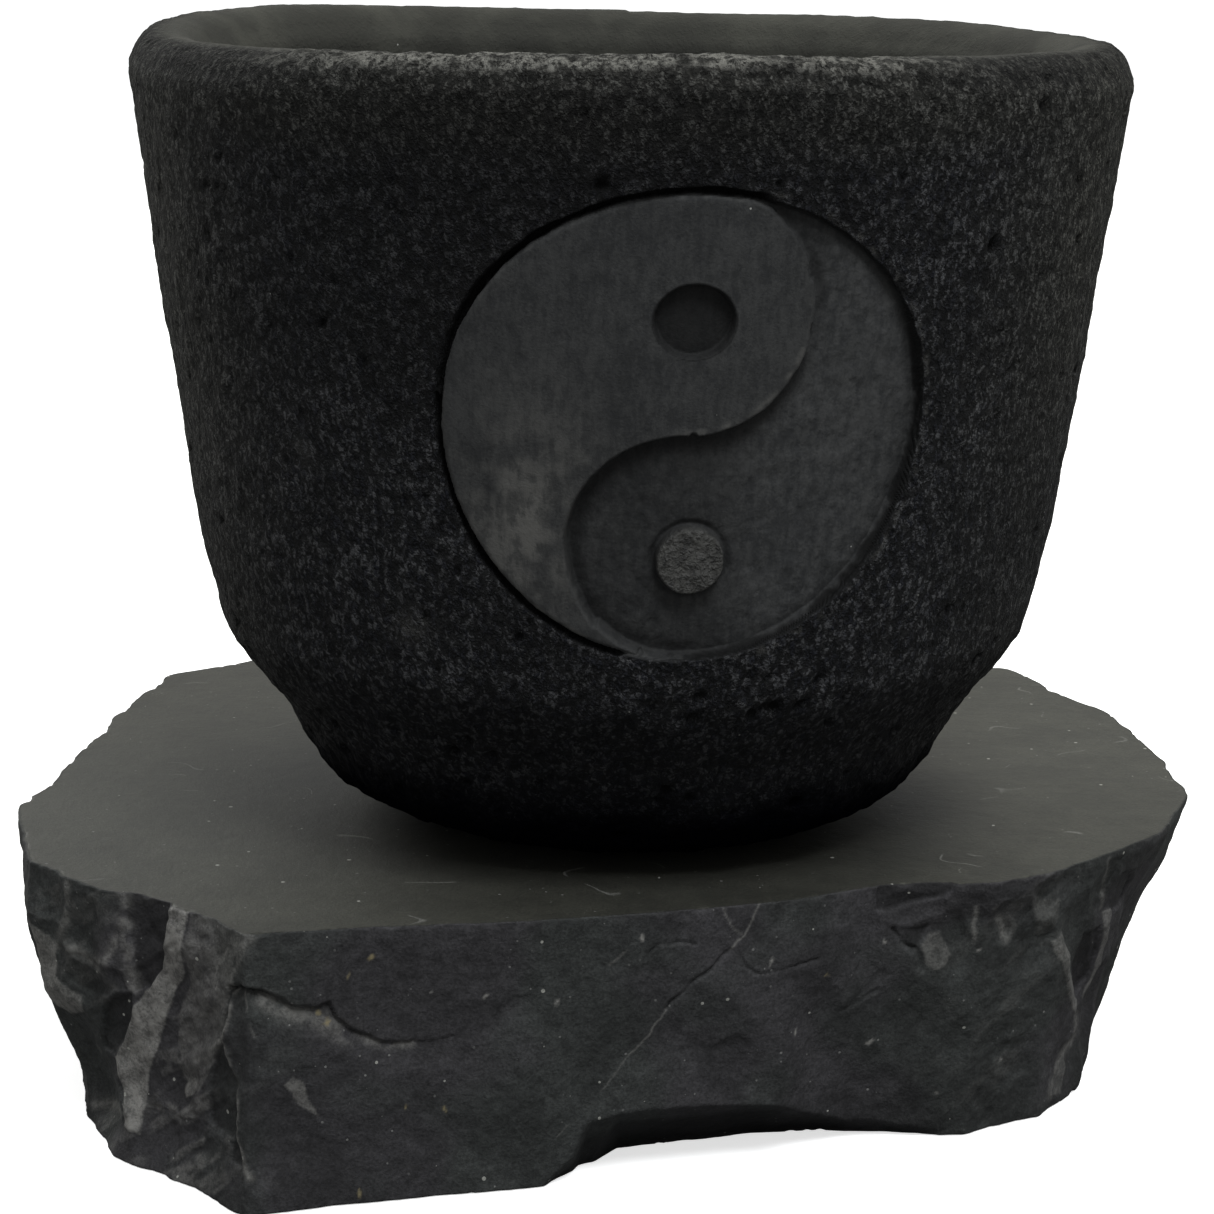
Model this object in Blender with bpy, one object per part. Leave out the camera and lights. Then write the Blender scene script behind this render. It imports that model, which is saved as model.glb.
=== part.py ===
"""A small carved basalt mortar (molcajete) standing loose on a split-stone slab.

Two stones: the bowl, with a yin-yang relief cut into its wall, and the base slab.
Metres, +Z up. The origin is on the ground under the bowl's axis; -Y is the carved front.
"""

import math

import bmesh
import bpy
import numpy as np
from mathutils import Vector

# Base slab: sawn flat on top and underneath, split all round.
SLAB_THICKNESS = 0.041
SLAB_SEED = 7
SLAB_ROUGHNESS = 0.0011
# Corners of the slab's top, anticlockwise from the left tip: (x, y, lean), where lean is how
# far the split side has moved inwards by the time it reaches the underside.
SLAB_CORNERS = (
    (-0.0938, -0.009, 0.009),
    (-0.087, -0.038, 0.008),
    (-0.074, -0.051, 0.003),
    (-0.064, -0.057, 0.002),
    (-0.052, -0.071, 0.001),
    (-0.033, -0.066, 0.001),
    (-0.013, -0.063, 0.003),
    (0.000, -0.060, 0.004),
    (0.025, -0.053, 0.005),
    (0.036, -0.046, 0.006),
    (0.054, -0.043, 0.006),
    (0.068, -0.034, 0.006),
    (0.083, -0.015, 0.011),
    (0.0912, 0.006, 0.014),
    (0.0910, 0.027, 0.013),
    (0.0872, 0.056, 0.010),
    (0.0720, 0.090, 0.008),
    (0.042, 0.104, 0.007),
    (0.008, 0.108, 0.006),
    (-0.030, 0.104, 0.007),
    (-0.060, 0.097, 0.008),
    (-0.0830, 0.077, 0.008),
    (-0.0885, 0.045, 0.008),
    (-0.0900, 0.015, 0.009),
)
SLAB_EDGE_DEPTHS = (0.0, 0.0012, 0.011, 0.022, 0.032, SLAB_THICKNESS)
SLAB_EDGE_CHIP = 0.0006
# A long flake is missing along the bottom of the slab's front. Its hollow at places across:
# (x, y where it meets the underside, y of the front face, height there).
FLAKE_SECTIONS = (
    (-0.0100, -0.0575, -0.0605, 0.0008),
    (-0.0062, -0.0526, -0.0590, 0.0045),
    (-0.0042, -0.0500, -0.0583, 0.0098),
    (0.0000, -0.0440, -0.0573, 0.0106),
    (0.0100, -0.0407, -0.0541, 0.0104),
    (0.0200, -0.0375, -0.0505, 0.0093),
    (0.0300, -0.0359, -0.0465, 0.0074),
    (0.0400, -0.0365, -0.0425, 0.0050),
    (0.0500, -0.0382, -0.0395, 0.0018),
    (0.0560, -0.0372, -0.0377, 0.0004),
)
FLAKE_CUTTER_Y = -0.080
FLAKE_CUTTER_RISE = 0.008
FLAKE_CUTTER_UNDER = 0.002

# Bowl
REST_GAP = 0.0003
BOWL_BOTTOM = SLAB_THICKNESS + REST_GAP
BOWL_HEIGHT = 0.120
RIM_RADIUS = 0.075
OUTER_LIP_RADIUS = 0.005
INNER_LIP_RADIUS = 0.007
WALL_AT_RIM = 0.013
HOLLOW_DEPTH = 0.086
HOLLOW_POWER = 2.4
BOWL_SIDES = 64
HOLLOW_RINGS = 9
# Outside of the bowl from the flat foot to the lip: (height above the foot, radius).
OUTER_WALL = (
    (0.000, 0.030),
    (0.002, 0.036),
    (0.005, 0.043),
    (0.009, 0.0475),
    (0.014, 0.0505),
    (0.020, 0.054),
    (0.029, 0.0602),
    (0.036, 0.0632),
    (0.048, 0.0657),
    (0.070, 0.0691),
    (0.092, 0.0721),
    (BOWL_HEIGHT - OUTER_LIP_RADIUS, RIM_RADIUS),
)

# Yin-yang relief, drawn flat on the unrolled wall: across is to the viewer's right, up is up.
RELIEF_TURN = math.radians(7.0)
RELIEF_HEIGHT = 0.0695
RELIEF_RADIUS = 0.0335
RELIEF_WIDENING = 1.035
RELIEF_DEPTH = 0.0020
GROOVE_WIDTH = 0.0011
GROOVE_DEPTH = 0.0016
GROOVE_START, GROOVE_END = math.radians(80), math.radians(258)
HOLE_RADIUS = 0.0050
HOLE_DEPTH = 0.0022
HOLE_UP = 0.0158
BUTTON_RADIUS = 0.0048
BUTTON_UP = -0.0187
BUTTON_SINK = 0.0006
CUTTER_STANDOFF = 0.004


def stone(name, colour, roughness):
    material = bpy.data.materials.new(name)
    material.use_nodes = True
    shader = material.node_tree.nodes["Principled BSDF"]
    shader.inputs["Base Color"].default_value = (*colour, 1.0)
    shader.inputs["Roughness"].default_value = roughness
    shader.inputs["Metallic"].default_value = 0.0
    material.diffuse_color = (*colour, 1.0)
    return material


def link(name, mesh, material=None):
    thing = bpy.data.objects.new(name, mesh)
    bpy.context.scene.collection.objects.link(thing)
    if material:
        mesh.materials.append(material)
    return thing


def finish_mesh(bm, name):
    bmesh.ops.remove_doubles(bm, verts=bm.verts, dist=1e-6)
    bmesh.ops.recalc_face_normals(bm, faces=bm.faces)
    mesh = bpy.data.meshes.new(name)
    bm.to_mesh(mesh)
    bm.free()
    return mesh


def closed_prism(front, back, name):
    """A closed solid between two grids of points, front and back, of the same size."""
    bm = bmesh.new()
    rows, columns = len(front), len(front[0])
    near = [[bm.verts.new(p) for p in row] for row in front]
    far = [[bm.verts.new(p) for p in row] for row in back]
    for i in range(rows - 1):
        for j in range(columns - 1):
            bm.faces.new((near[i][j], near[i][j + 1], near[i + 1][j + 1], near[i + 1][j]))
            bm.faces.new((far[i][j], far[i + 1][j], far[i + 1][j + 1], far[i][j + 1]))
    rim = [(0, j) for j in range(columns)]
    rim += [(i, columns - 1) for i in range(1, rows)]
    rim += [(rows - 1, j) for j in range(columns - 2, -1, -1)]
    rim += [(i, 0) for i in range(rows - 2, 0, -1)]
    for (i, j), (k, m) in zip(rim, rim[1:] + rim[:1]):
        bm.faces.new((near[i][j], far[i][j], far[k][m], near[k][m]))
    bmesh.ops.dissolve_degenerate(bm, edges=bm.edges, dist=1e-7)
    return finish_mesh(bm, name)


def boolean(target, tool, operation):
    tool.hide_render = True
    tool.display_type = "WIRE"
    modifier = target.modifiers.new(tool.name, "BOOLEAN")
    modifier.operation = operation
    modifier.solver = "EXACT"
    modifier.object = tool


def wall_radius(height):
    heights, radii = zip(*OUTER_WALL)
    return float(np.interp(height, heights, radii))


def on_wall(across, up, out):
    """A point of the unrolled wall, moved outwards by out, in world coordinates."""
    span = 0.04
    rise = wall_radius(RELIEF_HEIGHT + span) - wall_radius(RELIEF_HEIGHT - span / 2)
    slope = math.atan2(rise, span * 1.5)
    height = RELIEF_HEIGHT + up * math.cos(slope)
    radius = wall_radius(height) + out * math.cos(slope)
    turn = RELIEF_TURN + across * RELIEF_WIDENING / wall_radius(RELIEF_HEIGHT)
    z = BOWL_BOTTOM + height - out * math.sin(slope)
    return Vector((radius * math.sin(turn), -radius * math.cos(turn), z))


def bowl_profile():
    """(radius, height) from the foot's centre, up the outside, over the lip, down the hollow."""
    points = [(0.0, 0.0)] + [(radius, height) for height, radius in OUTER_WALL]
    for angle in np.radians((30, 60, 90)):
        along = RIM_RADIUS - OUTER_LIP_RADIUS * (1 - math.cos(angle))
        points.append((along, BOWL_HEIGHT - OUTER_LIP_RADIUS * (1 - math.sin(angle))))
    mouth = RIM_RADIUS - WALL_AT_RIM
    for angle in np.radians((90, 45, 0)):
        along = mouth + INNER_LIP_RADIUS * (1 - math.cos(angle))
        points.append((along, BOWL_HEIGHT - INNER_LIP_RADIUS * (1 - math.sin(angle))))
    top = BOWL_HEIGHT - INNER_LIP_RADIUS
    depth = HOLLOW_DEPTH - INNER_LIP_RADIUS
    for angle in np.linspace(0, math.pi / 2, HOLLOW_RINGS + 1)[1:]:
        radius = mouth * max(math.cos(angle), 0.0) ** (2 / HOLLOW_POWER)
        points.append((radius, top - depth * math.sin(angle) ** (2 / HOLLOW_POWER)))
    points[-1] = (0.0, points[-1][1])
    return points


def make_bowl(material):
    bm = bmesh.new()
    line = [bm.verts.new((r, 0.0, BOWL_BOTTOM + h)) for r, h in bowl_profile()]
    edges = [bm.edges.new(pair) for pair in zip(line, line[1:])]
    bmesh.ops.spin(
        bm, geom=line + edges, cent=(0, 0, 0), axis=(0, 0, 1),
        angle=math.tau, steps=BOWL_SIDES, use_merge=True,
    )
    mesh = finish_mesh(bm, "bowl")
    mesh.shade_smooth()
    mesh.set_sharp_from_angle(angle=math.radians(30))
    return link("bowl", mesh, material)


def yin_cutter():
    """The sunk half: right of the S curve, with its round head at the lower left."""
    half = RELIEF_RADIUS / 2
    front, back = [], []
    for turn in np.linspace(-math.pi / 2, math.pi / 2, 23):
        up = RELIEF_RADIUS * math.sin(turn)
        bulge = math.sqrt(max(half**2 - (abs(up) - half) ** 2, 0.0))
        left = math.copysign(bulge, up)
        right = RELIEF_RADIUS * math.cos(turn)
        places = np.linspace(left, max(right, left), 9)
        front.append([on_wall(a, up, CUTTER_STANDOFF) for a in places])
        back.append([on_wall(a, up, -RELIEF_DEPTH) for a in places])
    return link("yin_cutter", closed_prism(front, back, "yin_cutter"))


def groove_cutter():
    """A narrow channel round the raised half's outer edge."""
    front, back = [], []
    for turn in np.linspace(GROOVE_START, GROOVE_END, 33):
        ends = [RELIEF_RADIUS - GROOVE_WIDTH / 2, RELIEF_RADIUS + GROOVE_WIDTH / 2]
        flat = [(r * math.cos(turn), r * math.sin(turn)) for r in ends]
        front.append([on_wall(a, u, CUTTER_STANDOFF) for a, u in flat])
        back.append([on_wall(a, u, -GROOVE_DEPTH) for a, u in flat])
    return link("groove_cutter", closed_prism(front, back, "groove_cutter"))


def disc_tool(name, up, radius, outer, inner):
    """A short round plug standing across the wall between two offsets from its surface."""
    start, end = on_wall(0.0, up, inner), on_wall(0.0, up, outer)
    bm = bmesh.new()
    bmesh.ops.create_cone(
        bm, cap_ends=True, segments=28, radius1=radius, radius2=radius,
        depth=(end - start).length,
    )
    tool = link(name, finish_mesh(bm, name))
    tool.location = (start + end) / 2
    tool.rotation_mode = "QUATERNION"
    tool.rotation_quaternion = (end - start).to_track_quat("Z", "Y")
    return tool


def carve_relief(bowl):
    boolean(bowl, yin_cutter(), "DIFFERENCE")
    boolean(bowl, groove_cutter(), "DIFFERENCE")
    hole = disc_tool("eye_hole_cutter", HOLE_UP, HOLE_RADIUS, CUTTER_STANDOFF, -HOLE_DEPTH)
    boolean(bowl, hole, "DIFFERENCE")
    button_root = -RELIEF_DEPTH - CUTTER_STANDOFF
    button = disc_tool("eye_button", BUTTON_UP, BUTTON_RADIUS, -BUTTON_SINK, button_root)
    boolean(bowl, button, "UNION")


def slab_rings():
    """Outlines of the slab at each depth, with seeded unevenness on the split sides."""
    rng = np.random.default_rng(SLAB_SEED)
    corners = np.array(SLAB_CORNERS)
    halfway = (corners + np.roll(corners, -1, axis=0)) / 2
    ring = np.stack([corners, halfway], axis=1).reshape(-1, 3)
    along = np.roll(ring[:, :2], -1, axis=0) - np.roll(ring[:, :2], 1, axis=0)
    inward = np.stack([-along[:, 1], along[:, 0]], axis=1)
    inward /= np.linalg.norm(inward, axis=1)[:, None]
    rings = []
    for depth in SLAB_EDGE_DEPTHS:
        lean = ring[:, 2] * depth / SLAB_THICKNESS
        if depth == 0.0:
            lean = lean + SLAB_EDGE_CHIP
        elif depth < SLAB_THICKNESS:
            lean = lean + SLAB_ROUGHNESS * rng.uniform(-0.4, 1.0, len(ring))
        flat = ring[:, :2] + inward * lean[:, None]
        rings.append([(x, y, SLAB_THICKNESS - depth) for x, y in flat])
    return rings


def flake_cutter():
    """A tapering wedge under the front face, its sloping side rising towards the viewer."""
    bm = bmesh.new()
    sections = []
    for x, back, front, height in FLAKE_SECTIONS:
        slope = (back - front) / height
        outline = (
            (back + slope * FLAKE_CUTTER_UNDER, -FLAKE_CUTTER_UNDER),
            (front, height),
            (FLAKE_CUTTER_Y, height + FLAKE_CUTTER_RISE),
            (FLAKE_CUTTER_Y, -FLAKE_CUTTER_UNDER),
        )
        sections.append([bm.verts.new((x, y, z)) for y, z in outline])
    for left, right in zip(sections, sections[1:]):
        for i, j in ((0, 1), (1, 2), (2, 3), (3, 0)):
            bm.faces.new((left[i], left[j], right[j], right[i]))
    bm.faces.new(sections[0])
    bm.faces.new(sections[-1][::-1])
    return link("flake_cutter", finish_mesh(bm, "flake_cutter"))


def make_slab(material):
    bm = bmesh.new()
    rings = [[bm.verts.new(point) for point in ring] for ring in slab_rings()]
    count = len(rings[0])
    for upper, lower in zip(rings, rings[1:]):
        for i in range(count):
            j = (i + 1) % count
            bm.faces.new((upper[i], lower[i], lower[j], upper[j]))
    bm.faces.new(rings[0])
    bm.faces.new(rings[-1][::-1])
    slab = link("base_slab", finish_mesh(bm, "base_slab"), material)
    boolean(slab, flake_cutter(), "DIFFERENCE")
    return slab


def main():
    for thing in list(bpy.data.objects):
        bpy.data.objects.remove(thing)
    basalt = stone("basalt", (0.016, 0.017, 0.018), 0.93)
    split_stone = stone("split_stone", (0.035, 0.035, 0.033), 0.85)
    bowl = make_bowl(basalt)
    carve_relief(bowl)
    make_slab(split_stone)


main()
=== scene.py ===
"""Looks for a carved basalt mortar (molcajete) standing on a slab of split stone.

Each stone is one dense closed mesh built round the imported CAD: the bowl from its turned profile, the
slab from the CAD slab's own outline. Metres, +Z up; -Y is the carved front.
"""

import itertools
import math
from types import SimpleNamespace

import bpy
import numpy as np
from mathutils import Matrix, Vector
from mathutils.bvhtree import BVHTree


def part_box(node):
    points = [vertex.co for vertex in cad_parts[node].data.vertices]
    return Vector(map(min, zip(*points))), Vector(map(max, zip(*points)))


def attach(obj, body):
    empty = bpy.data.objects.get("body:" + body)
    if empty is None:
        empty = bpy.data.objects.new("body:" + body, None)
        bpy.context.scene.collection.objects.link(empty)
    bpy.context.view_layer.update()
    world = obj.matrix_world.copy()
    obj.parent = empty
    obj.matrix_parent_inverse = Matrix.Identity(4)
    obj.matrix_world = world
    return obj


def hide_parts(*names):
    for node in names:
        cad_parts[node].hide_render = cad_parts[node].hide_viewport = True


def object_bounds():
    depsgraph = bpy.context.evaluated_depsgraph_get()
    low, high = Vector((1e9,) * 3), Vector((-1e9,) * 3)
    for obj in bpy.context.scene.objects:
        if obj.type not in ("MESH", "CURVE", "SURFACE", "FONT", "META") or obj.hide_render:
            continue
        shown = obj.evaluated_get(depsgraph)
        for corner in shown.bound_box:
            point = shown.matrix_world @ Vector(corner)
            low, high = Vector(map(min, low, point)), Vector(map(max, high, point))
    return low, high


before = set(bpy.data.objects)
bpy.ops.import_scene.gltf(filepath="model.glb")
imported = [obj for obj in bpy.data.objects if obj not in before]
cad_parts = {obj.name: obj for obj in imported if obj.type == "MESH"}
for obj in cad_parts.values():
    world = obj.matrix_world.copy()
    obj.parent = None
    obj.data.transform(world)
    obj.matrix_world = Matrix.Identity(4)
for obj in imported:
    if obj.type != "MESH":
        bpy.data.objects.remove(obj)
CAD_LOW, CAD_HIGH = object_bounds()
BOWL_LOW, BOWL_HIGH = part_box("bowl")
SLAB_LOW, SLAB_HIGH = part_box("base_slab")

# Bowl, from the frame
RIM_RADIUS = (BOWL_HIGH.x - BOWL_LOW.x) / 2
BOWL_HEIGHT = BOWL_HIGH.z - BOWL_LOW.z
UNIT = RIM_RADIUS / 0.075
OUTER_LIP = 0.0054 * UNIT
INNER_LIP = 0.0070 * UNIT
MOUTH_RADIUS = RIM_RADIUS - 0.013 * UNIT
HOLLOW_DEPTH = 0.086 * UNIT
HOLLOW_POWER = 2.4
FOOT_RADIUS = 0.030 * UNIT
FOOT_FLAT = FOOT_RADIUS * 0.97
# Outside of the bowl from the foot's edge up to the lip: (height above the foot, radius).
OUTER_WALL = (
    (0.0000, 0.0300),
    (0.0020, 0.0360),
    (0.0050, 0.0430),
    (0.0090, 0.0475),
    (0.0140, 0.0505),
    (0.0200, 0.0540),
    (0.0290, 0.0608),
    (0.0360, 0.0632),
    (0.0480, 0.0657),
    (0.0700, 0.0691),
    (0.0920, 0.0721),
    (0.1150, 0.0750),
)
# How finely the bowl is drawn
WALL_POINTS, LIP_POINTS, HOLLOW_POINTS = 12, 10, 60
COLUMNS = 600
WALL_STEP = 0.00078
FOOT_STEP = 0.0016
LIP_STEP = 0.0006
HOLLOW_STEP = 0.0014
SLOPE_STEP = 0.0007
RELIEF_SPLIT = 4

# Yin-yang relief, drawn on the unrolled wall: u to the viewer's right, v up.
RELIEF_TURN = math.radians(7.0)
RELIEF_HEIGHT = 0.0695 * UNIT
RELIEF_RADIUS = 0.0335 * UNIT
RELIEF_WIDENING = 1.035
RELIEF_FLATTENING = 0.985
RELIEF_MARGIN = 0.0022
GROOVE_START, GROOVE_END = math.radians(72), math.radians(257)
HOLE_PLACE, HOLE_RADIUS = (0.0001, 0.0158), 0.0050
BUTTON_PLACE, BUTTON_RADIUS = (0.0009, -0.0187), 0.0048
HEAD_SQUEEZE = 1.09
YIN_DEPTH, YIN_RISE = 0.0023, 0.0010
GROOVE_DEPTH, GROOVE_HALF_WIDTH = 0.0018, 0.00047
HOLE_DEPTH, BUTTON_DEPTH, MOAT_DEPTH = 0.0015, 0.0007, 0.0003

# Slab, from the frame
SLAB_TOP = SLAB_HIGH.z
SLAB_MIDDLE = (0.0, (SLAB_LOW.y + SLAB_HIGH.y) / 2)
SLAB_FINE, SLAB_COARSE = 0.00026, 0.0009
SLAB_RAYS = 1440
FINE_REACH, FINE_FADE = 0.115, 0.015  # columns are fine this far either side of the front's middle


# ---------------------------------------------------------------- noise

def smoothstep(x):
    t = np.clip(x, 0.0, 1.0)
    return t * t * (3 - 2 * t)


def bell(x):
    return np.exp(-x * x)


def cell_value(cell, seed):
    """One repeatable number from 0 to 1 for each whole-number cell (x, y, z)."""
    x, y, z = (cell[:, k].astype(np.int64).astype(np.uint32) for k in range(3))
    h = x * np.uint32(0x9E3779B1) ^ y * np.uint32(0x85EBCA77) ^ z * np.uint32(0xC2B2AE3D)
    h = h ^ np.uint32((seed * 0x27D4EB2F + 0x165667B1) & 0xFFFFFFFF)
    h = (h ^ (h >> np.uint32(15))) * np.uint32(0x2C1B3C6D)
    h = (h ^ (h >> np.uint32(12))) * np.uint32(0x297A2D39)
    h = h ^ (h >> np.uint32(15))
    return h / 2.0**32


def smooth_noise(points, size, seed):
    """Smooth noise from -1 to 1 whose bumps are about size across."""
    scaled = points / size
    base = np.floor(scaled)
    t = scaled - base
    t = t * t * (3 - 2 * t)
    total = np.zeros(len(points))
    for corner in itertools.product((0, 1), repeat=3):
        weight = np.prod(np.where(corner, t, 1 - t), axis=1)
        total += weight * cell_value(base + corner, seed)
    return 2 * total - 1


def rough_noise(points, size, seed, octaves=3):
    total = np.zeros(len(points))
    for octave in range(octaves):
        total += smooth_noise(points, size / 2**octave, seed + octave) / 2**octave
    return total


def pores(points, size, seed, keep, smallest, largest):
    """Depth of round pores scattered one to a cell; keep is the share of cells that hold one."""
    base = np.floor(points / size)
    deepest = np.zeros(len(points))
    for step in itertools.product((-1, 0, 1), repeat=3):
        cell = base + step
        jitter = np.stack([cell_value(cell, seed + k) for k in (1, 2, 3)], axis=1)
        gap = np.linalg.norm(points - (cell + jitter) * size, axis=1)
        radius = smallest + (largest - smallest) * cell_value(cell, seed + 4) ** 2
        share = np.clip(1 - (gap / radius) ** 2, 0, 1)
        here = np.where(cell_value(cell, seed + 5) < keep, radius * share, 0.0)
        deepest = np.maximum(deepest, here)
    return deepest


# ---------------------------------------------------------------- meshes

def band_faces(rows, columns, split, parts):
    """Faces of a band that closes round its columns. Cells marked in split are cut parts x parts,
    and a whole cell beside a cut one takes the extra points into its own outline.
    Returns each point's (row, column), counted in whole cells, and the faces."""
    index, faces = {}, []
    width = columns * parts

    def point(i, j):
        return index.setdefault((i, j % width), len(index))

    for i in range(rows):
        for j in range(columns):
            point(i * parts, j * parts)
    for i in range(rows - 1):
        for j in range(columns):
            top, left = i * parts, j * parts
            if split[i, j]:
                for a in range(top, top + parts):
                    for b in range(left, left + parts):
                        faces.append((point(a, b), point(a, b + 1), point(a + 1, b + 1), point(a + 1, b)))
                continue
            below = parts if not (i > 0 and split[i - 1, j]) else 1
            right = parts if not split[i, (j + 1) % columns] else 1
            above = parts if not (i < rows - 2 and split[i + 1, j]) else 1
            before = parts if not split[i, j - 1] else 1
            outline = [point(top, left + b) for b in range(0, parts, below)]
            outline += [point(top + a, left + parts) for a in range(0, parts, right)]
            outline += [point(top + parts, left + b) for b in range(parts, 0, -above)]
            outline += [point(top + a, left) for a in range(parts, 0, -before)]
            faces.append(tuple(outline))
    places = np.array(list(index)) / parts
    return places, faces


def close_band(faces, rows, columns, first_pole, last_pole):
    """Triangles from the band's first and last rows to their poles."""
    last = (rows - 1) * columns
    for j in range(columns):
        k = (j + 1) % columns
        faces.append((first_pole, k, j))
        faces.append((last + j, last + k, last_pole))


def add_object(name, data):
    made = bpy.data.objects.new(name, data)
    bpy.context.scene.collection.objects.link(made)
    return made


def make_piece(name, points, faces, attributes, material, node, body):
    mesh = bpy.data.meshes.new(name)
    mesh.from_pydata(points.tolist(), [], faces)
    for key, values in attributes.items():
        layer = mesh.attributes.new(key, "FLOAT", "POINT")
        layer.data.foreach_set("value", values.astype(np.float32))
    mesh.shade_smooth()
    mesh.materials.append(material)
    piece = add_object(name, mesh)
    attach(piece, body)
    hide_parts(node)
    return piece


# ---------------------------------------------------------------- bowl

def smooth_line(points, per_span):
    """A smooth curve through the points (Catmull-Rom)."""
    points = np.array(points, float)
    padded = np.vstack([2 * points[0] - points[1], points, 2 * points[-1] - points[-2]])
    t = np.linspace(0, 1, per_span, endpoint=False)[:, None]
    spans = []
    for a, b, c, d in zip(padded, padded[1:], padded[2:], padded[3:]):
        bend = (2 * a - 5 * b + 4 * c - d) * t**2 + (3 * b - a - 3 * c + d) * t**3
        spans.append(b + ((c - a) * t + bend) / 2)
    return np.vstack(spans + [points[-1:]])


def lip_arc(edge, reach, turn):
    """Quarter circle between a wall's radius, edge, and the lip's top; reach is negative going in."""
    height = BOWL_HEIGHT - abs(reach) * (1 - np.sin(turn))
    return np.stack([edge + reach * (1 - np.cos(turn)), height], axis=1)


def bowl_profile():
    """(radius, height) from the foot's centre, up the outside, over the lip, down the hollow;
    and where along it the wall, the lip and the hollow start."""
    wall = smooth_line([(r * UNIT, h * UNIT) for h, r in OUTER_WALL], WALL_POINTS)
    wall[:, 1] *= (BOWL_HEIGHT - OUTER_LIP) / wall[-1, 1]
    foot = np.array([(0.0, 0.0), (FOOT_FLAT, 0.0)])
    quarter = math.pi / 2
    outer = lip_arc(RIM_RADIUS, -OUTER_LIP, np.linspace(0, quarter, LIP_POINTS)[1:])
    inner = lip_arc(MOUTH_RADIUS, INNER_LIP, np.linspace(quarter, 0, LIP_POINTS))
    turn = np.linspace(0, quarter, HOLLOW_POINTS)[1:]
    across = np.maximum(np.cos(turn), 0) ** (2 / HOLLOW_POWER)
    down = np.sin(turn) ** (2 / HOLLOW_POWER)
    hollow = np.stack(
        [MOUTH_RADIUS * across, BOWL_HEIGHT - INNER_LIP - (HOLLOW_DEPTH - INNER_LIP) * down], axis=1
    )
    line = np.vstack([foot, wall[1:], outer, inner, hollow])
    along = np.concatenate([[0], np.cumsum(np.linalg.norm(np.diff(line, axis=0), axis=1))])
    return line, along, along[1], along[len(wall)], along[len(wall) + len(outer) + len(inner)]


def relief_places(u, v):
    """For a point of the unrolled wall: distance from the centre, and signed distance to the
    S curve, positive on the sunk side."""
    half = RELIEF_RADIUS / 2
    r = np.hypot(u, v)
    u = np.where((u > 0) & (v > 0), u * HEAD_SQUEEZE, u)
    ends = np.minimum(np.hypot(u, v - RELIEF_RADIUS), r)
    upper = np.where(u >= 0, np.abs(np.hypot(u, v - half) - half), ends)
    ends = np.minimum(np.hypot(u, v + RELIEF_RADIUS), r)
    lower = np.where(u <= 0, np.abs(np.hypot(u, v + half) - half), ends)
    out_of_head = (v > 0) & (u > 0) & (np.hypot(u, v - half) > half)
    in_tail = (v <= 0) & ((u > 0) | (np.hypot(u, v + half) < half))
    side = np.where(out_of_head | in_tail, 1.0, -1.0)
    return r, np.minimum(upper, lower) * side


def carving_masks(u, v, points):
    """Where each feature of the carving lies, from 0 to 1, for points of the unrolled wall."""
    ragged = 0.00010 * smooth_noise(points, 0.0011, 40) + 0.00012 * smooth_noise(points, 0.0030, 41)
    chips = 0.0005 * smoothstep((smooth_noise(points, 0.0022, 42) - 0.40) / 0.3)
    r, s = relief_places(u, v)
    turn = np.mod(np.arctan2(v, u), math.tau)
    reach = smoothstep((turn - GROOVE_START) / 0.10) * smoothstep((GROOVE_END - turn) / 0.08)
    half_width = GROOVE_HALF_WIDTH + 0.00007 * smooth_noise(points, 0.004, 44)
    hole_gap = np.hypot(u - HOLE_PLACE[0], v - HOLE_PLACE[1]) + 0.6 * ragged
    button_gap = np.hypot(u - BUTTON_PLACE[0], v - BUTTON_PLACE[1]) + 0.6 * ragged
    return SimpleNamespace(
        u=u, v=v, r=r, s=s, ragged=ragged, reach=reach,
        inside=smoothstep((RELIEF_RADIUS - r + ragged) / 0.0003),
        sunk=smoothstep((s + ragged + chips) / 0.0008),
        groove=smoothstep((half_width - np.abs(r - RELIEF_RADIUS) + ragged) / 0.00024 + 0.5) * reach,
        hole=smoothstep((HOLE_RADIUS - hole_gap) / 0.0003 + 0.5),
        hole_tone=smoothstep((HOLE_RADIUS - hole_gap + 0.00045) / 0.0003 + 0.5),
        button=smoothstep((BUTTON_RADIUS - button_gap) / 0.0004 + 0.5),
        moat=bell((button_gap - BUTTON_RADIUS - 0.0005) / 0.0005),
    )


def carving_height(m, points):
    """Height of the carving over the wall: the yin half is sunk, deepest at its foot."""
    half = RELIEF_RADIUS / 2
    rise = smoothstep((m.v + half) / (RELIEF_RADIUS + half))
    cove = smoothstep((RELIEF_RADIUS - m.r + m.ragged) / 0.0007)
    tooling = 0.00013 * rough_noise(points, 0.0019, 43, 3)
    yin = -(YIN_DEPTH - YIN_RISE * rise) * m.sunk * cove + tooling * m.sunk
    yang = (-0.00030 * bell((RELIEF_RADIUS - 0.0005 - m.r) / 0.0004) - 0.00015) * (1 - m.sunk)
    bridge = smoothstep((smooth_noise(points, 0.0021, 45) - 0.70) / 0.2)
    height = (yin + yang) * m.inside
    height = height - GROOVE_DEPTH * m.groove * (1 - 0.6 * bridge)
    height = height - HOLE_DEPTH * m.hole
    height = height * (1 - m.button) - BUTTON_DEPTH * m.button
    return height - MOAT_DEPTH * m.moat


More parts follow.
